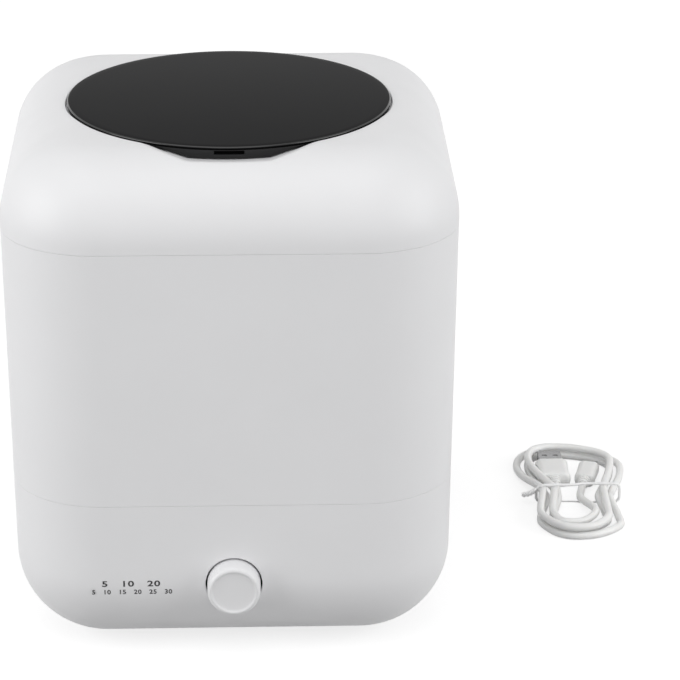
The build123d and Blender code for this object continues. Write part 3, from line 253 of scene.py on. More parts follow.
STEEL_START = RELIEF + FLAT_GRIP[2]
STEEL_LENGTH = 12.5
STEEL_HALF = (6.0, 2.25, 0.55)           # half width, half height, corner
STEEL_SKIN = 0.4
LATCH_X = 2.8
LATCH_HALF = 1.15


def arch(share):
    """Height of a quarter circle of radius 1 at a place along its foot."""
    return sqrt(max(0.0, 1 - share ** 2))


def clamp(value):
    return min(1.0, max(0.0, value))


def half_width(z):
    """Half the body's width at a height, on its tapered side wall."""
    return HALF_WIDTH - (BODY_TOP - z) * TAPER


def drawn_in(inset, z):
    """How far a rounded top or bottom edge pulls the skin in at a height."""
    low_radius = LOW_ROUNDING - inset
    top_radius = TOP_ROUNDING - inset
    below = (BODY_LOW + inset + low_radius - z) / low_radius
    above = (z - (BODY_TOP - inset - top_radius)) / top_radius
    if above > 0:
        return top_radius * (1 - arch(above))
    return low_radius * (1 - arch(below)) if below > 0 else 0.0


def wall_y(inset, z):
    """How far the flat part of a side wall is from the axis, at a height."""
    return half_width(z) - inset - drawn_in(inset, z)


def outline_reach(angle, half, corner):
    """Distance from the axis to a rounded square, at an angle."""
    c, s = abs(cos(angle)), abs(sin(angle))
    long, short = max(c, s), min(c, s)
    inner = half - corner
    if half / long * short <= inner:
        return half / long
    lean = inner * (c + s)
    return lean + sqrt(max(0.0, lean ** 2 - 2 * inner ** 2 + corner ** 2))


def polar(radius, angle, z):
    return (radius * cos(angle), radius * sin(angle), z)


def ring_row(angles, radius, z):
    return [polar(radius, a, z) for a in angles]


def skin_reach(angle, inset, z):
    """Distance from the axis to the body's skin, inside its wall by inset."""
    pull = inset + drawn_in(inset, z)
    corner = max(0.3, CORNER - (BODY_TOP - z) * TAPER - pull)
    return outline_reach(angle, half_width(z) - pull, corner)


def skin_rows(angles, places):
    """The points round the body's skin, for each pair of inset and height."""
    return [[polar(skin_reach(a, inset, z), a, z) for a in angles] for inset, z in places]


class Shape:
    """Points in millimetres and faces, gathered from several pieces of one mesh."""

    def __init__(self):
        self.points = []
        self.faces = []

    def add(self, points, faces, place=Matrix()):
        base = len(self.points)
        self.points += [place @ Vector(p) for p in points]
        self.faces += [[base + i for i in face] for face in faces]
        return self


def net(rows, ring=False, caps=False):
    """Faces between closed rows of as many points each, as a ring or with flat ends."""
    count = len(rows[0])
    total = len(rows)
    faces = []
    for k in range(total if ring else total - 1):
        low, high = k * count, (k + 1) % total * count
        for j in range(count):
            nxt = (j + 1) % count
            faces.append([low + j, low + nxt, high + nxt, high + j])
    if caps:
        faces.append(list(range(count))[::-1])
        faces.append([(total - 1) * count + j for j in range(count)])
    return [p for row in rows for p in row], faces


def lathe(profile, count=144, ring=False):
    """A profile of radius and height pairs turned about Z. A radius of 0 closes an end."""
    points, faces, rows = [], [], []
    for radius, z in profile:
        if radius == 0:
            rows.append([len(points)] * count)
            points.append((0, 0, z))
        else:
            rows.append(list(range(len(points), len(points) + count)))
            points += [polar(radius, 2 * pi * j / count, z) for j in range(count)]
    for low, high in zip(rows, rows[1:] + (rows[:1] if ring else [])):
        for j in range(count):
            nxt = (j + 1) % count
            face = [low[j], low[nxt], high[nxt], high[j]]
            faces.append([i for k, i in enumerate(face) if i not in face[:k]])
    return points, faces


def bar(start, end, radius, hole=0.0, count=32):
    """A round bar or tube between two points."""
    way = Vector(end) - Vector(start)
    place = Matrix.Translation(start) @ way.to_track_quat("Z", "Y").to_matrix().to_4x4()
    edge = min(0.25, radius * 0.1)
    long = way.length
    outside = [(radius - edge, 0), (radius, edge), (radius, long - edge), (radius - edge, long)]
    if hole:
        points, faces = lathe(outside + [(hole, long), (hole, 0)], count, ring=True)
    else:
        points, faces = lathe([(0, 0)] + outside + [(0, long)], count)
    return points, faces, place


def block(x0, x1, y0, y1, z0, z1):
    """A plain box between two corners, as part of a larger mesh."""
    points = [(x, y, z) for z in (z0, z1) for x, y in ((x0, y0), (x1, y0), (x1, y1), (x0, y1))]
    faces = [[3, 2, 1, 0], [4, 5, 6, 7], [0, 1, 5, 4], [1, 2, 6, 5], [2, 3, 7, 6], [3, 0, 4, 7]]
    return points, faces


def put(name, data):
    """A new object in the scene."""
    piece = bpy.data.objects.new(name, data)
    bpy.context.scene.collection.objects.link(piece)
    return piece


def finished_mesh(piece):
    """The mesh of a piece once its curve or its modifiers are worked out."""
    bpy.context.view_layer.update()
    return bpy.data.meshes.new_from_object(piece.evaluated_get(bpy.context.evaluated_depsgraph_get()))


def mesh_of(name, curve):
    """A curve's mesh. The curve's own object goes."""
    holder = put(name, curve)
    mesh = finished_mesh(holder)
    bpy.data.objects.remove(holder)
    return mesh


def smooth(mesh, sharp=32.0):
    mesh.shade_smooth()
    mesh.set_sharp_from_angle(angle=radians(sharp))


def make_object(name, shape, place=Matrix(), sharp=32.0):
    """A mesh object from a shape, with its normals outwards and smooth below the sharp angle."""
    mesh = bpy.data.meshes.new(name)
    shift = Matrix.Scale(MM, 4) @ Matrix.Translation((0, AXIS_Y, 0)) @ place
    mesh.from_pydata([shift @ Vector(p) for p in shape.points], [], shape.faces)
    work = bmesh.new()
    work.from_mesh(mesh)
    bmesh.ops.recalc_face_normals(work, faces=work.faces)
    work.to_mesh(mesh)
    work.free()
    smooth(mesh, sharp)
    return put(name, mesh)


def make_block(name, place, *sides):
    """A plain box as an object of its own, to cut with."""
    return make_object(name, Shape().add(*block(*sides)), place)


def apply_cuts(piece, cutters, overlapping=False):
    """Cut other objects out of a piece and remove them."""
    for cutter in cutters:
        modifier = piece.modifiers.new("cut", "BOOLEAN")
        modifier.operation = "DIFFERENCE"
        modifier.solver = "EXACT"
        modifier.use_self = overlapping
        modifier.object = cutter
    done = finished_mesh(piece)
    piece.modifiers.clear()
    piece.data = done
    for cutter in cutters:
        bpy.data.objects.remove(cutter)
    smooth(done)
    return piece


# Materials

def feed(tree, node, inputs):
    """Give each named input of a node a value or a link."""
    for key, value in inputs.items():
        if isinstance(value, bpy.types.NodeSocket):
            tree.links.new(value, node.inputs[key])
        else:
            node.inputs[key].default_value = value


def wired(tree, kind, inputs, **settings):
    """The outputs of a new node with its settings and inputs."""
    node = tree.nodes.new("ShaderNode" + kind)
    for key, value in settings.items():
        setattr(node, key, value)
    feed(tree, node, inputs)
    return node.outputs


def noise_at(tree, size_mm, detail, stretch=None):
    """A noise texture in the object's own coordinates."""
    place = wired(tree, "TexCoord", {})["Object"]
    if stretch:
        place = wired(tree, "Mapping", {"Vector": place, "Scale": stretch})["Vector"]
    scale = 1 / (size_mm * MM)
    inputs = {"Vector": place, "Scale": scale, "Detail": detail, "Roughness": 0.55}
    return wired(tree, "TexNoise", inputs)["Fac"]


def ranged(tree, value, low, high, ends=(0.3, 0.7)):
    """A value, spread from between its two ends to between two numbers."""
    inputs = {"Value": value, "From Min": ends[0], "From Max": ends[1], "To Min": low, "To Max": high}
    return wired(tree, "MapRange", inputs)["Result"]


def surface(
    name, color, roughness, metallic=0.0, tint=0.02, patch_mm=40.0, grain_mm=0.8, grain=0.03,
    rough_spread=0.05, specular=0.5, coat=0.0, coat_roughness=0.1, sheen=0.0, soft=0.0, brushed=None,
):
    """A moulded, machined or coated surface: faint tone patches, uneven gloss and a fine grain."""
    material = bpy.data.materials.new(name)
    material.use_nodes = True
    tree = material.node_tree
    tone = {
        "Factor": ranged(tree, noise_at(tree, patch_mm, 3.0), 0, 1),
        "A": (*[c * (1 - tint) for c in color], 1),
        "B": (*[min(1.0, c * (1 + tint)) for c in color], 1),
    }
    gloss = noise_at(tree, patch_mm * 0.35, 4.0)
    relief = {"Height": noise_at(tree, grain_mm, 2.0, brushed), "Strength": 1.0, "Distance": grain * MM}
    feed(tree, tree.nodes["Principled BSDF"], {
        "Base Color": wired(tree, "Mix", tone, data_type="RGBA")["Result"],
        "Roughness": ranged(tree, gloss, roughness - rough_spread, roughness + rough_spread),
        "Normal": wired(tree, "Bump", relief)["Normal"],
        "Metallic": metallic,
        "Specular IOR Level": specular,
        "Coat Weight": coat,
        "Coat Roughness": coat_roughness,
        "Sheen Weight": sheen,
        "Subsurface Weight": soft,
        "Subsurface Radius": (1.0, 0.9, 0.8),
        "Subsurface Scale": 0.0012,
    })
    return material


# A shinier, slightly lighter copy of the lid's black for the rim's upward faces: a painted highlight.
lid_rim_painted_highlight = surface("lid_rim_painted_highlight", (0.006, 0.006, 0.0065), 0.16, tint=0.1, grain=0.001, rough_spread=0.03)
lid_satin = surface("lid_satin", (0.009, 0.009, 0.0095), 0.36, tint=0.1, grain=0.01, specular=0.34)
# A darker, matte copy of the black for the inside of the nail slot: painted shade in the recess.
slot_painted_shade = surface("slot_painted_shade", (0.002, 0.002, 0.002), 0.9, tint=0.1, grain=0.01, specular=0.04)
print_grey = surface("print_grey", (0.012, 0.012, 0.013), 0.6, tint=0.1, patch_mm=2, grain=0.004)
material_of = {
    "shell": surface(
        "shell_white", (0.80, 0.80, 0.81), 0.46, tint=0.008, grain=0.006, specular=0.4, coat=0.08,
        coat_roughness=0.35),
    "lid_black": surface(
        "lid_gloss", (0.004, 0.004, 0.0044), 0.1, tint=0.1, grain=0.0012, grain_mm=2.5,
        rough_spread=0.02, specular=0.011),
    "knob_plastic": surface(
        "knob_white", (0.765, 0.765, 0.775), 0.38, tint=0.008, patch_mm=8, grain=0.006, coat=0.2,
        coat_roughness=0.2),
    "tub_plastic": surface("tub_white", (0.84, 0.845, 0.85), 0.48, tint=0.008, grain=0.006, specular=0.4),
    "pulsator_plastic": surface(
        "pulsator_grey", (0.68, 0.71, 0.74), 0.42, tint=0.012, grain=0.008, coat=0.1, coat_roughness=0.25),
    "seal_rubber": surface("seal_pale", (0.62, 0.62, 0.61), 0.7, tint=0.04, patch_mm=12, sheen=0.2),
    "foot_rubber": surface(
        "foot_black", (0.02, 0.02, 0.02), 0.75, tint=0.15, patch_mm=6, grain=0.05, sheen=0.3),
    "screw_steel": surface(
        "screw_zinc", (0.55, 0.55, 0.56), 0.35, 1.0, tint=0.06, patch_mm=3, grain=0.02, grain_mm=0.5),
    "shaft_steel": surface(
        "shaft_ground", (0.62, 0.62, 0.64), 0.22, 1.0, tint=0.04, patch_mm=5, grain=0.01,
        brushed=(1, 1, 12)),
    "bush_bronze": surface("bush_bronze", (0.45, 0.27, 0.11), 0.5, 1.0, tint=0.1, patch_mm=2, grain_mm=0.4),
    "gear_plastic": surface("gear_cream", (0.76, 0.72, 0.6), 0.5, patch_mm=10, grain=0.02),
    "pinion_brass": surface(
        "pinion_brass", (0.66, 0.47, 0.17), 0.28, 1.0, tint=0.06, patch_mm=3, grain=0.01,
        brushed=(1, 1, 10)),
    "grey_plastic": surface("plate_grey", (0.08, 0.085, 0.09), 0.55, tint=0.05, patch_mm=15),
    "motor_steel": surface(
        "motor_steel", (0.5, 0.5, 0.51), 0.38, 1.0, tint=0.08, patch_mm=6, grain=0.01,
        brushed=(1, 1, 0.1)),
    "black_plastic": surface("black_moulded", (0.018, 0.018, 0.02), 0.5, tint=0.1, patch_mm=4, grain=0.02),
    "button_plastic": surface("button_orange", (0.55, 0.12, 0.02), 0.45, tint=0.04, patch_mm=3, grain=0.01),
    "board_green": surface(
        "board_green", (0.012, 0.09, 0.035), 0.3, tint=0.2, patch_mm=5, grain=0.02, coat=0.3),
    "plug_steel": surface(
        "plug_nickel", (0.32, 0.32, 0.325), 0.3, 1.0, tint=0.04, patch_mm=5, grain=0.0006,
        brushed=(1, 8, 1)),
    "cord_white": surface(
        "cord_pvc", (0.90, 0.90, 0.89), 0.4, tint=0.015, patch_mm=14, grain=0.01, grain_mm=1.2,
        coat=0.25, coat_roughness=0.25, soft=0.1),
    "tie_white": surface(
        "tie_pvc", (0.93, 0.93, 0.93), 0.42, patch_mm=6, grain=0.015, coat=0.2, coat_roughness=0.3),
    "plug_white": surface(
        "plug_white", (0.90, 0.90, 0.89), 0.42, tint=0.012, patch_mm=8, grain=0.008, coat=0.15,
        coat_roughness=0.3, soft=0.08),
}


def stand_for(piece, node):
    """The piece takes a CAD node's place on its body and, if it has no finish yet, the finish of the node's
    material slot.
    """
    if not piece.data.materials:
        piece.data.materials.append(material_of[slot_of[node]])
    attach(piece, body_of[node])
    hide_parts(node)
    return piece


# The body's three shells

def seam_top(angles, z):
    """Rows over a shell's upper edge, with its tongue up into the next shell."""
    tongue, tip = LAP + LAP_GAP, z + SEAM_GAP / 2 + LIP
    return skin_rows(angles, [
        (0.0, z - SEAM_EDGE), (SEAM_MID, z - SEAM_MID), (SEAM_EDGE, z), (tongue, z),
        (tongue, tip - SEAM_EDGE), (tongue + SEAM_EDGE, tip), (WALL, tip),
    ])


def seam_low(angles, z):
    """Rows under a shell's lower edge, from the inside out, with the rebate for a tongue."""
    rebate = z + LIP + LIP_GAP
    return skin_rows(angles, [
        (WALL, rebate), (LAP, rebate), (LAP, z), (SEAM_EDGE, z), (SEAM_MID, z + SEAM_MID),
        (0.0, z + SEAM_EDGE),
    ])


def base_heights(inset, steps=26):
    """Heights up the rounded lower edge, in even turns, and up the wall above it."""
    radius = LOW_ROUNDING - inset
    turns = [radians(90 * k / steps) for k in range(steps + 1)]
    return [BODY_LOW + inset + radius * (1 - cos(a)) for a in turns] + STRAIGHT_HEIGHTS


def boundary_loop(columns, rows, count):
    """Point numbers round a window in a net, from its low left corner."""
    (first, last), (low, high) = columns, rows
    step = 1 if high > low else -1
    loop = [low * count + j for j in range(first, last)]
    loop += [k * count + last for k in range(low, high, step)]
    loop += [high * count + j for j in range(last, first, -1)]
    return loop + [k * count + first for k in range(high, low, -step)]


def cut_window(points, faces, side, columns, rows, centre_z, rings):
    """Replace a window in both skins of a shell's net by rings round an opening.

    side is -1 for the front wall and 1 for the rear one. rows holds the window's rows in the outer
    and in the inner skin. rings holds pairs of an outline and an inset from the outer skin inwards.
    An inset below 0 is a flat place at that distance from the axis.
    """
    count = len(SHELL_ANGLES)
    first, last = columns
    kept = []
    for face in faces:
        k, j = divmod(face[0], count)
        inside = any(min(pair) <= k < max(pair) for pair in rows)
        if len(face) != 4 or not first <= j < last or not inside:
            kept.append(face)
    outer_loop, inner_loop = [boundary_loop(columns, pair, count) for pair in rows]

    def spot(index, outline, inset, blend):
        x, y, z = points[index]
        ring_x, ring_z = outline(atan2(z - centre_z, x))
        high = centre_z + ring_z + (z - centre_z - ring_z) * blend
        reach = -inset if inset < 0 else wall_y(inset, high)
        return (ring_x + (x - ring_x) * blend, side * reach, high)

    steps = [(outer_loop, rings[0][0], 0.0, blend) for blend in OUTER_BLENDS]
    steps += [(outer_loop, outline, inset, 0.0) for outline, inset in rings]
    steps += [(inner_loop, rings[-1][0], WALL, blend) for blend in INNER_BLENDS]
    loops = [outer_loop]
    for loop, *how in steps:
        base = len(points)
        points += [spot(i, *how) for i in loop]
        loops.append(list(range(base, len(points))))
    loops.append(inner_loop)
    for near, far in zip(loops, loops[1:]):
        for i in range(len(near)):
            nxt = (i + 1) % len(near)
            kept.append([near[i], near[nxt], far[nxt], far[i]])
    return kept


def circle(radius):
    return lambda a: (radius * cos(a), radius * sin(a))


def rounded_box(half_x, half_z, corner):
    """A rounded rectangle as a function of the angle from its middle."""
    def reach(a):
        c, s = abs(cos(a)), abs(sin(a))
        t = min(half_x / max(c, 1e-6), half_z / max(s, 1e-6))
        in_x, in_z = half_x - corner, half_z - corner
        if t * c > in_x and t * s > in_z:
            lean = in_x * c + in_z * s
            t = lean + sqrt(max(0.0, lean ** 2 - in_x ** 2 - in_z ** 2 + corner ** 2))
        return (t * cos(a), t * sin(a))
    return reach


def outline_row(outline, count, y, start=0.0):
    """Points round an outline across X and Z, at a place along Y."""
    turns = [2 * pi * (k + start) / count for k in range(count)]
    return [(outline(a)[0], y, outline(a)[1]) for a in turns]


def make_base():
    """The lower shell with its knob hole and its recessed socket opening."""
    outer, inner = base_heights(0.0), base_heights(WALL)
    rows = skin_rows(SHELL_ANGLES, [(0.0, z) for z in outer])
    rows += seam_top(SHELL_ANGLES, LOWER_SEAM - SEAM_GAP / 2)
    rows += skin_rows(SHELL_ANGLES, [(WALL, z) for z in inner[::-1]])
    points, faces = net(rows, caps=True)

    def rows_near(*ends):
        """The rows nearest to two heights, in the outer skin and in the inner one."""
        def row(heights, z):
            return min(range(len(heights)), key=lambda k: abs(heights[k] - z))
        return [row(outer, z) for z in ends], [len(rows) - 1 - row(inner, z) for z in ends]

    def recess(grow):
        return rounded_box(*[size + grow for size in SOCKET_RECESS])

    edges = ((0.5, 0.0), (0.15, 0.15), (0, 0.5), (0, WALL))
    hole = [(circle(KNOB_HOLE + grow), inset) for grow, inset in edges]
    columns = (FRONT_COLUMN - 13, FRONT_COLUMN + 13)
    faces = cut_window(points, faces, -1, columns, rows_near(20.5, 57.0), KNOB_Z, hole)
    depth = wall_y(0, SOCKET_Z) - SOCKET_DEPTH
    slot = rounded_box(*SOCKET_SLOT)
    socket = [
        (recess(0.4), 0.0), (recess(0.1), 0.12), (recess(0), 0.4), (recess(0), -(depth + 0.3)),
        (recess(-0.3), -depth), (slot, -depth), (slot, WALL),
    ]
    columns = (BACK_COLUMN - 8, BACK_COLUMN + 8)
    faces = cut_window(points, faces, 1, columns, rows_near(40.5, 60.5), SOCKET_Z, socket)
    shape = Shape().add(points, faces)
    for x, y in FOOT_PLACES:
        shape.add(*bar((x, y, PILLAR_LOW), (x, y, PILLAR_TOP), 6.0, hole=4.0))
    board_y = -wall_y(0, KNOB_Z) + BOARD_DEPTH
    for x in (-BOARD_X, BOARD_X):
        for z in (KNOB_Z - BOARD_Z, KNOB_Z + BOARD_Z):
            shape.add(*bar((x, -wall_y(WALL - 0.6, z), z), (x, board_y, z), 3.0))
    back = wall_y(0, SOCKET_Z)
    for x in (-6.0, 6.0):
        shape.add(*block(x - 2, x + 2, back - 16.9, back - 1.3, 43.4, 46.4))
    return make_object("base_shell", shape, sharp=SHELL_SHARP)


def make_middle():
    """The plain middle shell between the two seams."""
    heights = [80.0 + 110.0 * k / 11 for k in range(12)]
    rows = skin_rows(SHELL_ANGLES, [(0.0, z) for z in heights])
    rows += seam_top(SHELL_ANGLES, UPPER_SEAM - SEAM_GAP / 2)
    rows += skin_rows(SHELL_ANGLES, [(WALL, z) for z in heights[:0:-1]])
    rows += seam_low(SHELL_ANGLES, LOWER_SEAM + SEAM_GAP / 2)
    return make_object("middle_shell", Shape().add(*net(rows, ring=True)), sharp=SHELL_SHARP)


def soft_min(a, b, k):
    """The smaller of two heights, with a soft crease between them."""
    h = clamp(0.5 + 0.5 * (b - a) / k)
    return b + (a - b) * h - k * h * (1 - h)


def scoop_height(x, y):
    """Height of the finger scoop's floor and slanted sides at a place."""
    if y > 0:
        return BODY_TOP + 20.0
    slope = (BODY_TOP - SCOOP_Z) / (SCOOP_TOP_HALF - SCOOP_LOW_HALF)
    out = abs(x) - SCOOP_LOW_HALF
    rise = 0.0
    if out >= SCOOP_BEND:
        rise = slope * out
    elif out >= -SCOOP_BEND:
        rise = slope * (out + SCOOP_BEND) ** 2 / (4 * SCOOP_BEND)
    return SCOOP_Z + rise + SCOOP_TILT * max(0.0, sqrt(x * x + y * y) - LID_RADIUS - 0.5)


def scooped(r, a, z):
    """A height on the cover's top, or the finger scoop's where that is lower."""
    if r < SCOOP_START:
        return z
    return soft_min(z, scoop_height(r * cos(a), r * sin(a)), SCOOP_SOFT)


def deck_profile(angle):
    """The cover's top from the lid's seat outwards over the rounded edge, in even steps."""
    path = []
    start = SEAT_RADIUS + SEAT_EDGE
    for k in range(241):
        z = BODY_TOP - TOP_ROUNDING * (1 - cos(radians(90) * k / 240))
        reach = skin_reach(angle, 0.0, min(z, BODY_TOP - 1e-4))
        if reach > start:
            path += [(reach, z)] if path else [(start, z), (reach, z)]
    lengths = [0.0]
    for (r0, z0), (r1, z1) in zip(path, path[1:]):
        lengths.append(lengths[-1] + sqrt((r1 - r0) ** 2 + (z1 - z0) ** 2))
    places = []
    k = 0
    for i in range(DECK_STEPS + 1):
        at = lengths[-1] * (i / DECK_STEPS) ** DECK_CROWDING
        while k < len(lengths) - 2 and lengths[k + 1] < at:
            k += 1
        t = (at - lengths[k]) / max(1e-9, lengths[k + 1] - lengths[k])
        places.append([near + (far - near) * t for near, far in zip(path[k], path[k + 1])])
    return places


def cover_column(a):
    """The cover's upper side at an angle: neck, seat, its edge and the deck."""
    neck = MOUTH + NECK_WALL
    places = [
        (neck, NECK_LOW + NECK_EDGE), (neck - NECK_EDGE, NECK_LOW), (MOUTH + NECK_EDGE, NECK_LOW),
        (MOUTH, NECK_LOW + NECK_EDGE), (MOUTH, SEAT_Z - 0.7), (MOUTH + 0.2, SEAT_Z - 0.2),
        (MOUTH + 0.7, SEAT_Z), (SCOOP_START - 0.1, SEAT_Z),
    ]
    seat = (SCOOP_START + 0.02, 69.8, 71.2, SEAT_RADIUS - 0.25)
    places += [(r, scooped(r, a, SEAT_Z)) for r in seat]
    deck = deck_profile(a)
    top = scooped(SEAT_RADIUS, a, deck[0][1])
    floor = scooped(SEAT_RADIUS, a, SEAT_Z)
    step = top - floor
    places += [
        (SEAT_RADIUS - 0.05, floor + 0.05 * min(1.0, step)), (SEAT_RADIUS, floor + step * 0.2),
        (SEAT_RADIUS, max(floor + step * 0.25, top - SEAT_EDGE)),
        (SEAT_RADIUS + 0.12, max(floor + step * 0.6, top - 0.12)),
    ]
    places += [(r, scooped(r, a, z)) for r, z in deck]
    return [polar(r, a, z) for r, z in places]


def make_cover():
    """The upper shell: rounded deck, lid seat, neck and finger scoop."""
    angles = [radians(235 + 0.25 * k) for k in range(281)]
    angles += [radians(305 + 290 * k / 220) for k in range(1, 220)]
    rows = [list(row) for row in zip(*[cover_column(a) for a in angles])]
    rows += seam_low(angles, UPPER_SEAM + SEAM_GAP / 2)[::-1]
    rows += skin_rows(angles, [(WALL, z) for z in (200.0, 206.0, 212.0, 217.0, DECK_UNDER)])
    rows.append(ring_row(angles, MOUTH + NECK_WALL, DECK_UNDER))
    shape = Shape().add(*net(rows, ring=True))
    for k in range(4):
        x, y, z = polar(LUG_PLACE, radians(45 + 90 * k), LUG_TOP)
        shape.add(*bar((x, y, z), (x, y, DECK_UNDER + 2), LUG_HALF, hole=1.9))
    return make_object("cover_shell", shape, sharp=SHELL_SHARP)


# The lid

def make_lid_panel():
    """The glossy disc, a little domed, with a rounded rim whose upward faces get a shinier, lighter copy of
    the black as a painted highlight.
    """
    rim = PANEL_LOW + PANEL_THICK
    edge = PANEL_THICK / 2
    profile = [(0, PANEL_LOW), (40, PANEL_LOW)]
    for k in range(13):
        a = radians(-90 + 15 * k)
        profile.append((LID_RADIUS - edge + edge * cos(a), PANEL_LOW + edge + edge * sin(a)))
    for k in range(1, 24):
        out = 1 - k / 24
        profile.append(((LID_RADIUS - edge) * out, rim + PANEL_DOME * (1 - out ** 2)))
    profile.append((0, rim + PANEL_DOME))
    disc = make_object("lid_disc", Shape().add(*lathe(profile, 240)))
    for material in (material_of["lid_black"], lid_rim_painted_highlight):
        disc.data.materials.append(material)
    # Faces tilted up towards the lamps take the shinier copy: a painted highlight along the rim.
    for face in disc.data.polygons:
        if RIM_HIGHLIGHT_TILT[0] < face.normal.z < RIM_HIGHLIGHT_TILT[1]:
            face.material_index = 1
    return disc


def make_lid_frame():
    """The ring and skirt under the disc, and the grip tab with its nail slot, darkened inside with painted
    shade.
    """
    inner = SKIRT_RADIUS - SKIRT_WALL
    groove_top = GROOVE_LOW + GASKET_HEIGHT
    ring = [
        (inner, PANEL_LOW), (inner, SKIRT_LOW + SKIRT_EDGE), (inner + SKIRT_EDGE, SKIRT_LOW),
        (SKIRT_RADIUS - SKIRT_EDGE, SKIRT_LOW), (SKIRT_RADIUS, SKIRT_LOW + SKIRT_EDGE),
        (SKIRT_RADIUS, GROOVE_LOW), (GROOVE_ROOT, GROOVE_LOW), (GROOVE_ROOT, groove_top),
        (SKIRT_RADIUS, groove_top), (SKIRT_RADIUS, FRAME_LOW), (FRAME_RADIUS - 0.3, FRAME_LOW),
        (FRAME_RADIUS, FRAME_LOW + 0.3), (FRAME_RADIUS, PANEL_LOW),
    ]
    shape = Shape().add(*lathe(ring, 200, ring=True))
    low_half = SCOOP_LOW_HALF - TAB_GAP
    top_half = SCOOP_TOP_HALF - 2 * TAB_GAP
    low_z = SCOOP_Z + TAB_GAP
    slope = (PANEL_LOW + 0.7 - low_z) / (top_half - low_half)
    columns = []
    for k in range(TAB_STEPS + 1):
        x = -top_half + 2 * top_half * k / TAB_STEPS
        under = min(PANEL_LOW - 0.02, low_z + max(0.0, abs(x) - low_half) * slope)
        edge = min(TAB_EDGE, (PANEL_LOW - under) * 0.4)
        places = [
            (LID_RADIUS - TAB_THICK, PANEL_LOW), (LID_RADIUS - TAB_THICK, under),
            (LID_RADIUS - edge, under), (LID_RADIUS - edge * 0.3, under + edge * 0.3),
            (LID_RADIUS, under + edge), (LID_RADIUS, PANEL_LOW),
        ]
        columns.append([(x, -sqrt(r * r - x * x), z) for r, z in places])
    shape.add(*net(columns, caps=True))
    piece = make_object("lid_ring", shape)
    slot_low, slot_top = PANEL_LOW - SLOT_HEIGHT, PANEL_LOW - SLOT_ROOF
    sides = (-SLOT_HALF, SLOT_HALF, -LID_RADIUS - 1, -LID_RADIUS + SLOT_DEPTH, slot_low, slot_top)
    apply_cuts(piece, [make_block("slot", Matrix(), *sides)], overlapping=True)
    for material in (lid_satin, slot_painted_shade):
        piece.data.materials.append(material)
    # The slot's inner faces take the darker, matte copy: painted shade inside the recess.
    slack = 0.01
    for face in piece.data.polygons:
        x, y, z = face.center / MM
        depth = y - AXIS_Y + LID_RADIUS
        inside = 0.3 < depth < SLOT_DEPTH + slack and slot_low - slack < z < slot_top + slack
        if inside and abs(x) < SLOT_HALF + slack:
            face.material_index = 1
    return piece


def make_gasket():
    """The soft ring whose lip wipes the mouth."""
    lip = MOUTH - 0.4
    places = [
        (GROOVE_ROOT, 0.1), (SKIRT_RADIUS, 0.1), (lip - 0.5, 1.0), (lip - 0.1, 1.3), (lip, 1.5),
        (lip - 0.1, 1.75), (lip - 0.6, 1.9), (SKIRT_RADIUS + 0.3, 2.0),
        (SKIRT_RADIUS, GASKET_HEIGHT - 0.1), (GROOVE_ROOT, GASKET_HEIGHT - 0.1),
    ]
    profile = [(r, GROOVE_LOW + up) for r, up in places]
    return make_object("lid_wiper", Shape().add(*lathe(profile, 200, ring=True)))


# Tub and pulsator

def tub_radius(z):
    return TUB_FLOOR_RADIUS + (TUB_TOP_RADIUS - TUB_FLOOR_RADIUS) * (z - TUB_FLOOR) / (TUB_RIM - TUB_FLOOR)


def rib_bulge(angle, z):
    """How far a wash rib stands out of the tub's wall."""
    step = 2 * pi / RIBS
    across = (angle / step % 1.0 - 0.5) * step * tub_radius(z)
    if abs(across) > RIB_RADIUS or not RIB_LOW < z < RIB_HIGH:
        return 0.0
    end = min(1.0, (z - RIB_LOW) / RIB_END, (RIB_HIGH - z) / RIB_END)
    return sqrt(RIB_RADIUS ** 2 - across ** 2) * arch(1 - end)


def corner_places(low, wall, corner):
    """Places round the tub's rounded lower corner, from the floor up to the wall."""
    middle = tub_radius(low + corner) + wall - corner
    turns = [radians(90 * k / 8) for k in range(9)]
    return [(middle + corner * sin(a), low + corner * (1 - cos(a))) for a in turns]


def tub_angles():
    """Angles round the tub, close together across each rib."""
    angles = []
    for k in range(RIBS):
        middle = 2 * pi * (k + 0.5) / RIBS
        angles += [middle - radians(off) for off in RIB_SIDES[::-1]]
        angles += [middle + (j - 10) / 10 * RIB_RADIUS / 68.0 for j in range(21)]
        angles += [middle + radians(off) for off in RIB_SIDES + (30,)]
    return angles


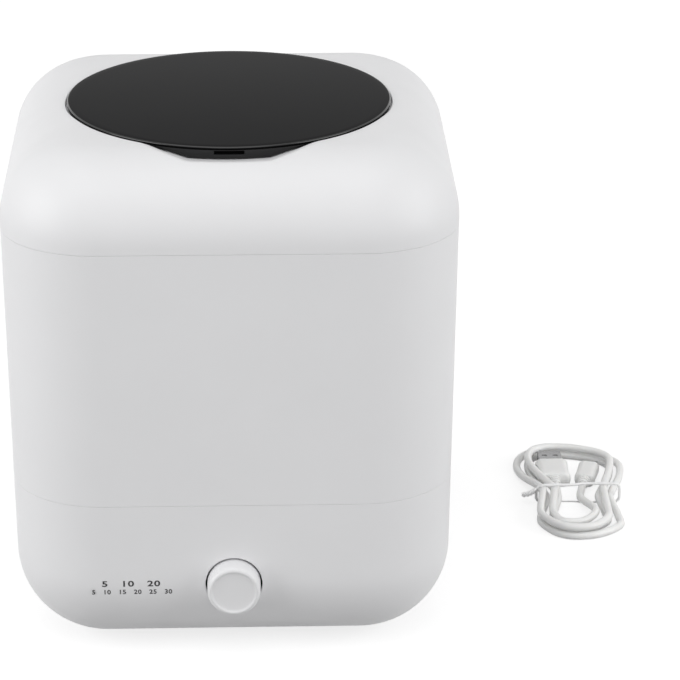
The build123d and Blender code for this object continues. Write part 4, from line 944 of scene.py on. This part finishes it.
def make_tub():
    """The wash tub with its ribs, flange, lugs, bearing boss and posts."""
    angles = tub_angles()
    inside = [(7.5, 83.0), (7.5, TUB_FLOOR - 0.3), (7.8, TUB_FLOOR), (30.0, TUB_FLOOR)]
    inside += corner_places(TUB_FLOOR, 0.0, TUB_CORNER)
    heights = [100.0, 106.0, 111.5] + [RIB_LOW + (RIB_HIGH - RIB_LOW) * t for t in RIB_SHARES]
    inside += [(tub_radius(z), z) for z in heights + [201.0, 208.0, 216.0]]
    edge = 0.4
    flange_low = TUB_RIM - 2.4
    outside = [
        (TUB_TOP_RADIUS, TUB_RIM - edge), (TUB_TOP_RADIUS + edge, TUB_RIM),
        (FLANGE_RADIUS - edge, TUB_RIM), (FLANGE_RADIUS, TUB_RIM - edge),
        (FLANGE_RADIUS, flange_low + edge), (FLANGE_RADIUS - edge, flange_low),
        (tub_radius(flange_low) + TUB_WALL, flange_low), (tub_radius(150.0) + TUB_WALL, 150.0),
    ]
    outside += corner_places(TUB_UNDER, TUB_WALL, TUB_CORNER + TUB_WALL)[::-1]
    outside += [
        (9.5, TUB_UNDER), (9.5, 73.0), (9.1, 72.6), (5.5, 72.6), (5.5, 79.6), (3.6, 79.6), (3.6, 83.0),
    ]
    rows = [[polar(r - rib_bulge(a, z), a, z) for a in angles] for r, z in inside]
    rows += [ring_row(angles, r, z) for r, z in outside]
    shape = Shape().add(*net(rows, ring=True))
    for k in range(4):
        turn = Matrix.Rotation(radians(45 + 90 * k), 4, "Z")
        shape.add(*block(73.0, LUG_PLACE, -LUG_HALF, LUG_HALF, LUG_LOW, LUG_TOP), place=turn)
        points, faces, place = bar((LUG_PLACE, 0, LUG_LOW), (LUG_PLACE, 0, LUG_TOP), LUG_HALF, hole=2.1)
        shape.add(points, faces, turn @ place)
        web = block(8.5, FOOT_SIDE * sqrt(2), -1.0, 1.0, TUB_UNDER - 9.1, TUB_UNDER + 1)
        shape.add(*web, place=turn)
    for x, y in PLATE_POSTS:
        shape.add(*bar((x, y, TUB_UNDER - 27.0), (x, y, TUB_UNDER + 1), 4.0, hole=1.3))
    for x, y in FOOT_PLACES:
        shape.add(*bar((x, y, PILLAR_TOP), (x, y, TUB_UNDER + 1), 4.8, hole=1.9))
    return make_object("tub_bowl", shape)


def pulsator_dome(radius):
    """Height of the pulsator's domed disc."""
    out = clamp((radius - HUB_RADIUS) / (PULSATOR_RADIUS - HUB_RADIUS))
    return PULSATOR_LOW + PULSATOR_RIM + (CROWN - PULSATOR_LOW - PULSATOR_RIM) * arch(out)


def vane_height(radius, across):
    """How far a vane stands out of the dome, at a place across it that is 1 at its foot."""
    out = (radius - VANE_INNER) / (PULSATOR_RADIUS - VANE_INNER)
    if out <= -0.03:
        return 0.0
    crest = PULSATOR_LOW + VANE_HEIGHT * arch(max(0.0, out))
    inner_end = clamp((radius - 8.4) / 1.6)
    outer_end = clamp((VANE_OUTER + 0.6 - radius) / 1.8)
    side = clamp((1.15 - abs(across)) / 0.3)
    side = side * side * (3 - 2 * side)
    crown = 1 - 0.12 * min(1.0, abs(across)) ** 2
    return max(0.0, crest - pulsator_dome(radius)) * side * crown * arch(1 - inner_end) * arch(1 - outer_end)


def vane_row(radius, across):
    """A row round the pulsator, whose columns follow the swept vanes."""
    out = clamp((radius - VANE_INNER) / (VANE_OUTER - VANE_INNER))
    half = VANE_HALF - (VANE_HALF - VANE_TIP_HALF) * out ** 2
    wide = min(across[-1] * half / max(radius, 6.5), radians(38))
    gap = 2 * pi / VANES - 2 * wide
    height = pulsator_dome(radius)
    row = []
    for k in range(VANES):
        centre = 2 * pi * k / VANES + VANE_TURN * out ** VANE_POWER
        for d in across:
            row.append(polar(radius, centre + d / across[-1] * wide, height + vane_height(radius, d)))
        row += [polar(radius, centre + wide + gap * (t / 12), height) for t in range(1, 12)]
    return row


def make_pulsator():
    """The agitator: a low dome with swept vanes, its hub and its drain holes."""
    along = [VANE_INNER + (VANE_OUTER - VANE_INNER) * k / VANE_STEPS for k in range(VANE_STEPS + 1)]
    radii = [SCREW_HOLE, 4.4, 5.5, 7.0, 8.0, 8.5] + along + [44.6, 45.4, 46.2, 46.7, PULSATOR_RADIUS]
    side = [0.3, 0.6, 0.85, 0.97, 1.05, 1.15, 1.35, 1.7]
    across = [-d for d in side[::-1]] + [0.0] + side
    rows = [vane_row(radius, across) for radius in radii]
    hub_turns, rim_turns = [[atan2(y, x) for x, y, z in row] for row in (rows[0], rows[-1])]
    rows.insert(0, ring_row(hub_turns, SCREW_HOLE, SCREW_SEAT))
    rows.append(ring_row(rim_turns, PULSATOR_RADIUS, PULSATOR_LOW + 0.4))
    rows.append(ring_row(rim_turns, PULSATOR_RADIUS - 0.4, PULSATOR_LOW))
    hub = [(HUB_RADIUS, PULSATOR_LOW), (HUB_RADIUS, HUB_LOW), (SHAFT_HOLE, HUB_LOW), (SHAFT_HOLE, SCREW_SEAT)]
    rows += [ring_row(hub_turns, radius, z) for radius, z in hub]
    piece = make_object("pulsator_disc", Shape().add(*net(rows, ring=True)), sharp=50)
    cutters = []
    for k in range(VANES):
        for turn in (0.55, 0.85):
            a = 2 * pi * (k + turn) / VANES + VANE_TURN / 2
            ends = polar(DRAIN_PLACE, a, PULSATOR_LOW - 5), polar(DRAIN_PLACE, a, CROWN)
            cutters.append(make_object("drain_cut", Shape().add(*bar(*ends, DRAIN_RADIUS, count=20))))
    return apply_cuts(piece, cutters)


# Knob, feet and printed numbers

TO_FRONT = Matrix.Rotation(radians(-90), 4, "X")


def make_knob():
    """The knob: a cup with a rounded lip round a slightly dished face."""
    deep = KNOB_REACH + KNOB_INSET
    face = KNOB_FRONT - KNOB_LIP
    profile = [
        (0, 0.72), (4.0, 0.7), (7.5, 0.62), (face - 0.7, 0.52), (face - 0.25, 0.4), (face + 0.02, 0.2),
        (face + 0.25, 0.05), (face + 0.5, 0.0),
    ]
    for k in range(1, 11):
        a = radians(9 * k)
        profile.append((face + 0.5 + (KNOB_LIP - 0.5) * sin(a), KNOB_LIP * (1 - cos(a))))
    profile += [
        (KNOB_BIG, deep - 0.3), (KNOB_BIG - 0.3, deep), (KNOB_BIG - 1.6, deep), (KNOB_BIG - 1.9, 3.4),
        (5.2, 2.6), (5.0, KNOB_TAIL), (3.05, KNOB_TAIL), (3.05, 2.4), (0, 2.3),
    ]
    place = Matrix.Translation((0, -wall_y(0, KNOB_Z) - KNOB_REACH, KNOB_Z)) @ TO_FRONT
    return make_object("knob_cap", Shape().add(*lathe(profile, 120)), place)


def make_feet():
    """Four rubber feet with a soft edge and a shallow ring underneath."""
    profile = [
        (0, 0.3), (4.6, 0.3), (5.0, 0.0), (FOOT_RADIUS - 0.7, 0.0), (FOOT_RADIUS - 0.2, 0.2),
        (FOOT_RADIUS, 0.7), (FOOT_RADIUS, FOOT_HIGH), (0, FOOT_HIGH),
    ]
    shape = Shape()
    for x, y in FOOT_PLACES:
        shape.add(*lathe(profile, 64), place=Matrix.Translation((x, y, 0)))
    return make_object("foot_pads", shape)


def print_numbers(name, text, size, left, right, middle_z):
    """Plain numbers printed on the front wall, between two places along X."""
    curve = bpy.data.curves.new(name, "FONT")
    curve.body = text
    curve.size = size
    curve.offset = INK_SPREAD * size
    curve.space_character = INK_SPACING
    mesh = mesh_of(name, curve)
    xs = [v.co.x for v in mesh.vertices]
    ys = [v.co.y for v in mesh.vertices]
    grow = (right - left) / (max(xs) - min(xs))
    for v in mesh.vertices:
        x = left + (v.co.x - min(xs)) * grow
        z = middle_z + (v.co.y - (min(ys) + max(ys)) / 2)
        v.co = Vector((x, AXIS_Y - wall_y(0, z) - INK_OUT, z)) * MM
    mesh.name = name
    mesh.materials.append(print_grey)
    piece = put(name, mesh)
    thick = piece.modifiers.new("ink", "SOLIDIFY")
    thick.thickness = INK_THICK * MM
    thick.offset = 0
    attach(piece, "machine")


# The power lead

def cord_height(layer, tied=False):
    """Height of the cord's middle in a layer of the hank."""
    lift = TIE_THICK + TIE_GAP if tied else 0.0
    return CORD / 2 + lift + layer * (CORD + LAYER_GAP)


def turn_reach(across, along):
    """How far a quarter turn's two outer points stand from its ends."""
    return (sqrt((across + along) ** 2 + 2 * (across ** 2 + along ** 2)) - across - along) / 2


def hank_route():
    """The route from the tie, with two points outside each quarter turn so that the spline is as wide."""
    half_tie = TIE_WIDTH / 2 + 0.7
    route = [(-WAIST_LEFT, LEAD_END, FLAT_HEIGHT), (-WAIST_LEFT, LEAD_END - CORD, FLAT_HEIGHT)]
    for k in range(TOP_LOOPS + 1):
        layer_in = 1 if k > TOP_LOOPS / 2 else 0
        layer_out = 1 if k >= TOP_LOOPS / 2 else 0
        rank = min(k, TOP_LOOPS - k)
        rank_out = min(k, TOP_LOOPS - 1 - k)
        u_in = -(WAIST_LEFT + rank * PITCH + layer_in * LAYER_SHIFT)
        z_in, z_out = cord_height(layer_in), cord_height(layer_out)
        tied_in, tied_out = cord_height(layer_in, True), cord_height(layer_out, True)
        left = -(LOW_HALF + rank * LOW_PITCH)
        lean = LOW_LEAN + rank * LOW_LEAN_STEP
        reach = -(LOW_REACH + rank * LOW_PITCH)
        right = LOW_HALF_RIGHT + rank_out * LOW_PITCH
        bend = -LOW_BEND - LOW_BEND_STEP * rank
        d = turn_reach(lean - left, -LOW_BEND - reach)
        e = turn_reach(right - lean, bend - reach)
        route += [
            (u_in, half_tie, tied_in), (u_in, -half_tie, tied_in), (left, -LOW_BEND, z_in),
            (left, -LOW_BEND - d, z_in), (lean - d, reach, z_in), (lean + e, reach, z_in),
            (right, bend - e, z_out), (right, bend, z_out),
        ]
        if k == TOP_LOOPS:
            break
        u_out = WAIST_RIGHT + rank_out * PITCH + layer_out * LAYER_SHIFT
        wide = TOP_HALF + rank_out * PITCH
        high = TOP_REACH + rank_out * PITCH
        d = turn_reach(wide + TOP_LEAN, high - TOP_BEND_RIGHT)
        e = turn_reach(wide - TOP_LEAN, high - TOP_BEND_LEFT)
        route += [
            (u_out, -half_tie, tied_out), (u_out, half_tie, tied_out), (wide, TOP_BEND_LOW, z_out),
            (wide, TOP_BEND_RIGHT + d, z_out), (-TOP_LEAN + d, high, z_out),
            (-TOP_LEAN - e, high, z_out), (-wide, TOP_BEND_LEFT + e, z_out), (-wide, TOP_BEND_LOW, z_out),
        ]
    back = LEAD_END - CORD * cos(MICRO_TILT)
    return route + [
        (WAIST_BACK, -half_tie, cord_height(0, True)), (WAIST_BACK, half_tie, cord_height(0, True)),
        (MICRO_U - CORD * sin(MICRO_TILT), back, MICRO_HEIGHT), (MICRO_U, LEAD_END, MICRO_HEIGHT),
    ]


def hank_place(u, v, z):
    """From the tie's own place to the row's frame, in metres."""
    return Vector((HANK_X + u, HANK_Y + AXIS_Y + v, z)) * MM


def make_strand(name, kind, places, radius, smoothness):
    """A round strand through places in the hank, and its spline."""
    curve = bpy.data.curves.new(name, "CURVE")
    curve.dimensions = "3D"
    curve.bevel_depth = radius * MM
    curve.bevel_resolution = smoothness
    curve.resolution_u = 14
    curve.use_fill_caps = True
    spline = curve.splines.new(kind)
    spline.points.add(len(places) - 1)
    for point, place in zip(spline.points, places):
        point.co = (*hank_place(*place), 1.0)
    return curve, spline


def make_cord():
    """The whole lead as one smooth spline through the hank."""
    curve, spline = make_strand("lead", "NURBS", hank_route(), CORD / 2, 7)
    spline.order_u = 3
    spline.use_endpoint_u = True
    return put("lead", curve)


def make_grip(name, place, width, thick, length, waist):
    """A plug's moulded handle, drawn in at its ends, with the stepped strain relief below it."""
    ends = [
        (0.0, 1.25 * GRIP_SHOULDER, 0.9), (0.25, 0.75 * GRIP_SHOULDER, 0.45),
        (0.8, 0.3 * GRIP_SHOULDER, 0.15), (2.0, 0.08 * GRIP_SHOULDER, 0.0), (length * 0.35, waist, 0.0),
        (length * 0.7, waist * 0.5, 0.0), (length - 1.2, 0.0, 0.0), (length - 0.5, 0.1, 0.12),
        (length - 0.12, 0.35, 0.35), (length, 0.75, 0.75),
    ]
    rows = []
    for y, side, flat in ends:
        half_z = thick / 2 - flat
        outline = rounded_box(width / 2 - side, half_z, min(half_z * 0.86, thick * 0.4))
        rows.append(outline_row(outline, 64, RELIEF + y))
    profile = [(0, 0.1), (2.2, 0.1), (2.5, 0.3)]
    for k in range(3):
        y, r = 0.5 + k * 1.55, 2.6 + 0.3 * k
        profile += [(r - 0.1, y), (r, y + 0.12), (r, y + 0.85), (r - 0.12, y + 0.97)]
        profile += [(r - 0.45, y + 1.05), (r - 0.45, y + 1.45)]
    profile += [(3.3, RELIEF + 0.2), (3.3, RELIEF + 1.0), (0, RELIEF + 1.0)]
    shape = Shape().add(*net(rows, caps=True))
    shape.add(*lathe(profile, 40), place=TO_FRONT)
    return make_object(name, shape, place)


def make_flat_shell(place):
    """The flat plug's folded steel shell with two latch windows and a seam."""
    half_x, half_z, corner = STEEL_HALF
    start, end = STEEL_START - 1.0, STEEL_START + STEEL_LENGTH
    steps = [(0.0, start), (0.0, end - 0.15), (-0.15, end)]
    rows = []
    for grow, y in steps + [(-STEEL_SKIN, end), (-STEEL_SKIN, start + STEEL_SKIN)]:
        outline = rounded_box(half_x + grow, half_z + grow, max(0.12, corner + grow))
        rows.append(outline_row(outline, 48, y, 0.5))
    piece = make_object("flat_plug_steel", Shape().add(*net(rows, caps=True)), place)
    y = STEEL_START + STEEL_LENGTH * 0.55
    cutters = []
    for x in (-LATCH_X, LATCH_X):
        sides = (x - LATCH_HALF, x + LATCH_HALF, y - LATCH_HALF, y + LATCH_HALF, 1.0, 4.0)
        cutters.append(make_block("window_cut", place, *sides))
    cutters.append(make_block("seam_cut", place, -0.07, 0.07, STEEL_START - 2, STEEL_START + 13, -3.0, -2.0))
    return apply_cuts(piece, cutters)


def make_insert(place):
    """The white contact carrier with its four contacts and two latch pads."""
    start = STEEL_START + STEEL_SKIN
    shape = Shape().add(*block(-5.55, 5.55, start, start + 11.5, -1.83, 0.0))
    for x in (-3.5, -1.2, 1.2, 3.5):
        shape.add(*block(x - 0.5, x + 0.5, start + 4.5, start + 11.2, -0.01, 0.12))
    for x in (-LATCH_X, LATCH_X):
        shape.add(*block(x - 1.6, x + 1.6, start + 4.6, start + 8.4, 0.0, 1.55))
    return make_object("flat_plug_carrier", shape, place)


def tie_tail(left, first):
    """One of the tie's two ends, wound round the other."""
    tail = []
    for k in range(1, TIE_TAIL + 1):
        t = k / TIE_TAIL
        a = 2 * pi * TIE_TURNS * t + pi * first
        swirl = TIE_SWIRL * min(1.0, t * 5)
        x = left - 0.6 - 6.6 * t + 0.8 * sin(3.2 * t)
        y = -0.4 - 2.2 * t + 2.6 * t * t
        z = 8.3 - 5.2 * t + 1.6 * t * t
        tail.append((x + 0.3 * swirl * cos(a), y + swirl * cos(a), z + swirl * sin(a)))
    return tail


def make_tie():
    """The coated twist tie: one wire round the strands with its two ends twisted at the left."""
    left = -(WAIST_LEFT + PITCH * TOP_LOOPS / 2) - CORD / 2 - TIE_GAP
    right = WAIST_RIGHT + PITCH + LAYER_SHIFT + CORD / 2 + TIE_GAP
    low = cord_height(0, True) - CORD / 2 - TIE_GAP
    high = cord_height(1, True) + CORD / 2 + TIE_GAP
    outline = rounded_box((right - left + TIE_THICK) / 2, (high - low + TIE_THICK) / 2, 2.6)
    loop = []
    for k in range(97):
        a = pi * 0.93 - 2 * pi * k / 96 * 0.985
        x, z = outline(a)
        loop.append(((left + right) / 2 + x, 0.5 * sin(2 * a) + k / 96 - 0.5, (low + high) / 2 + z))
    path = tie_tail(left, 1)[::-1] + loop + tie_tail(left, 0)
    curve, spline = make_strand("twist_tie", "POLY", path, TIE_RADIUS, 5)
    for point, place in zip(spline.points, path):
        point.radius = min(1.0, (place[2] - 0.03) / TIE_RADIUS)
    mesh = mesh_of("twist_tie", curve)
    mesh.shade_smooth()
    return put("twist_tie", mesh)


# Camera, floor and light

def add_camera():
    data = bpy.data.cameras.new("camera")
    data.sensor_width = SENSOR_MM
    data.lens = FOCAL_PIXELS / FRAME_PIXELS * SENSOR_MM
    camera = put("camera", data)
    right = Vector((cos(CAMERA_YAW), -sin(CAMERA_YAW), 0))
    ahead = Vector((sin(CAMERA_YAW), cos(CAMERA_YAW), 0))
    look = ahead * cos(CAMERA_PITCH) - Vector((0, 0, 1)) * sin(CAMERA_PITCH)
    up = ahead * sin(CAMERA_PITCH) + Vector((0, 0, 1)) * cos(CAMERA_PITCH)
    side = right * cos(CAMERA_ROLL) - up * sin(CAMERA_ROLL)
    top = right * sin(CAMERA_ROLL) + up * cos(CAMERA_ROLL)
    axes = Matrix((side, top, -look)).transposed().to_4x4()
    camera.matrix_world = Matrix.Translation(CAMERA_PLACE) @ axes
    bpy.context.scene.camera = camera


def seen_rays(tree):
    """1 for what the camera, a reflection or glass sees, 0 for what lights the object."""
    path = wired(tree, "LightPath", {})
    seen = path["Is Camera Ray"]
    for kind in ("Is Transmission Ray", "Is Glossy Ray"):
        seen = wired(tree, "Math", {0: seen, 1: path[kind]}, operation="MAXIMUM")[0]
    return seen


def add_world():
    """A plain soft room: dim on the object, white where it is seen."""
    world = bpy.data.worlds.new("room")
    bpy.context.scene.world = world
    world.use_nodes = True
    tree = world.node_tree
    strength = ranged(tree, seen_rays(tree), WORLD_LIGHT, 1.0, (0.0, 1.0))
    feed(tree, tree.nodes["Background"], {"Color": WHITE, "Strength": strength})


def add_floor():
    """A wide pale floor that keeps a soft shadow and is white where the camera sees it lit."""
    bpy.ops.mesh.primitive_plane_add(size=FLOOR_SIZE)
    floor = bpy.context.object
    floor.name = "floor"
    material = bpy.data.materials.new("floor_pale")
    material.use_nodes = True
    tree = material.node_tree
    place = wired(tree, "NewGeometry", {})["Position"]
    away = wired(tree, "VectorMath", {0: place}, operation="LENGTH")["Value"]
    fade = ranged(tree, away, FLOOR_LIFT, 1.0, FLOOR_FADE)
    feed(tree, tree.nodes["Principled BSDF"], {
        "Base Color": FLOOR_GREY,
        "Roughness": 0.9,
        "Specular IOR Level": 0.0,
        "Emission Color": WHITE,
        "Emission Strength": wired(tree, "Math", {0: seen_rays(tree), 1: fade}, operation="MULTIPLY")[0],
    })
    floor.data.materials.append(material)


def add_lamp(name, energy, size, place, target):
    """A square soft box that points at a place."""
    data = bpy.data.lights.new(name, "AREA")
    data.energy = energy
    data.size = size
    lamp = put(name, data)
    lamp.location = place
    lamp.rotation_euler = (Vector(target) - Vector(place)).to_track_quat("-Z", "Y").to_euler()


add_camera()
add_world()
add_floor()
add_lamp("top", 14, 2.0, (-0.2, -0.7, 2.3), (0, 0, 0.1))
add_lamp("front", 4.8, 1.6, (0.3, -2.2, 0.9), (0, 0, 0.1))
add_lamp("left", 19, 1.4, (-1.7, -0.62, 0.75), (0, 0, 0.12))
add_lamp("right", 16.5, 1.4, (1.7, -0.62, 0.75), (0, 0, 0.12))

for name, node in frame["nodes"].items():
    node.data.materials.clear()
    node.data.materials.append(material_of[slot_of[name]])

stand_for(make_base(), "base_housing")
stand_for(make_middle(), "middle_housing")
stand_for(make_cover(), "top_cover")
stand_for(make_lid_panel(), "lid_panel")
stand_for(make_lid_frame(), "lid_frame")
stand_for(make_gasket(), "lid_gasket")
stand_for(make_tub(), "wash_tub")
stand_for(make_pulsator(), "pulsator")
stand_for(make_knob(), "control_knob")
stand_for(make_feet(), "rubber_feet")
print_numbers("numbers_upper", "5   10   20", 3.9, -58.0, -32.5, 39.6)
print_numbers("numbers_lower", "5   10   15   20   25   30", 3.2, -62.5, -27.3, 35.4)

flat_place = Matrix.Translation((HANK_X - WAIST_LEFT, HANK_Y + LEAD_END, FLAT_HEIGHT))
micro_place = Matrix.Translation((HANK_X + MICRO_U, HANK_Y + LEAD_END, MICRO_HEIGHT))
micro_place = micro_place @ Matrix.Rotation(-MICRO_TILT, 4, "Z")
lead = make_cord()
tie = stand_for(make_tie(), "cord_tie")
flat_grip = stand_for(make_grip("flat_plug_handle", flat_place, *FLAT_GRIP), "flat_plug_grip")
flat_steel = stand_for(make_flat_shell(flat_place), "flat_plug_shell")
flat_carrier = stand_for(make_insert(flat_place), "flat_plug_insert")
micro_grip = stand_for(make_grip("micro_plug_handle", micro_place, *MICRO_GRIP), "micro_plug_grip")
stand_for(lead, "cord_hank")

bpy.context.scene.view_settings.view_transform = "Standard"
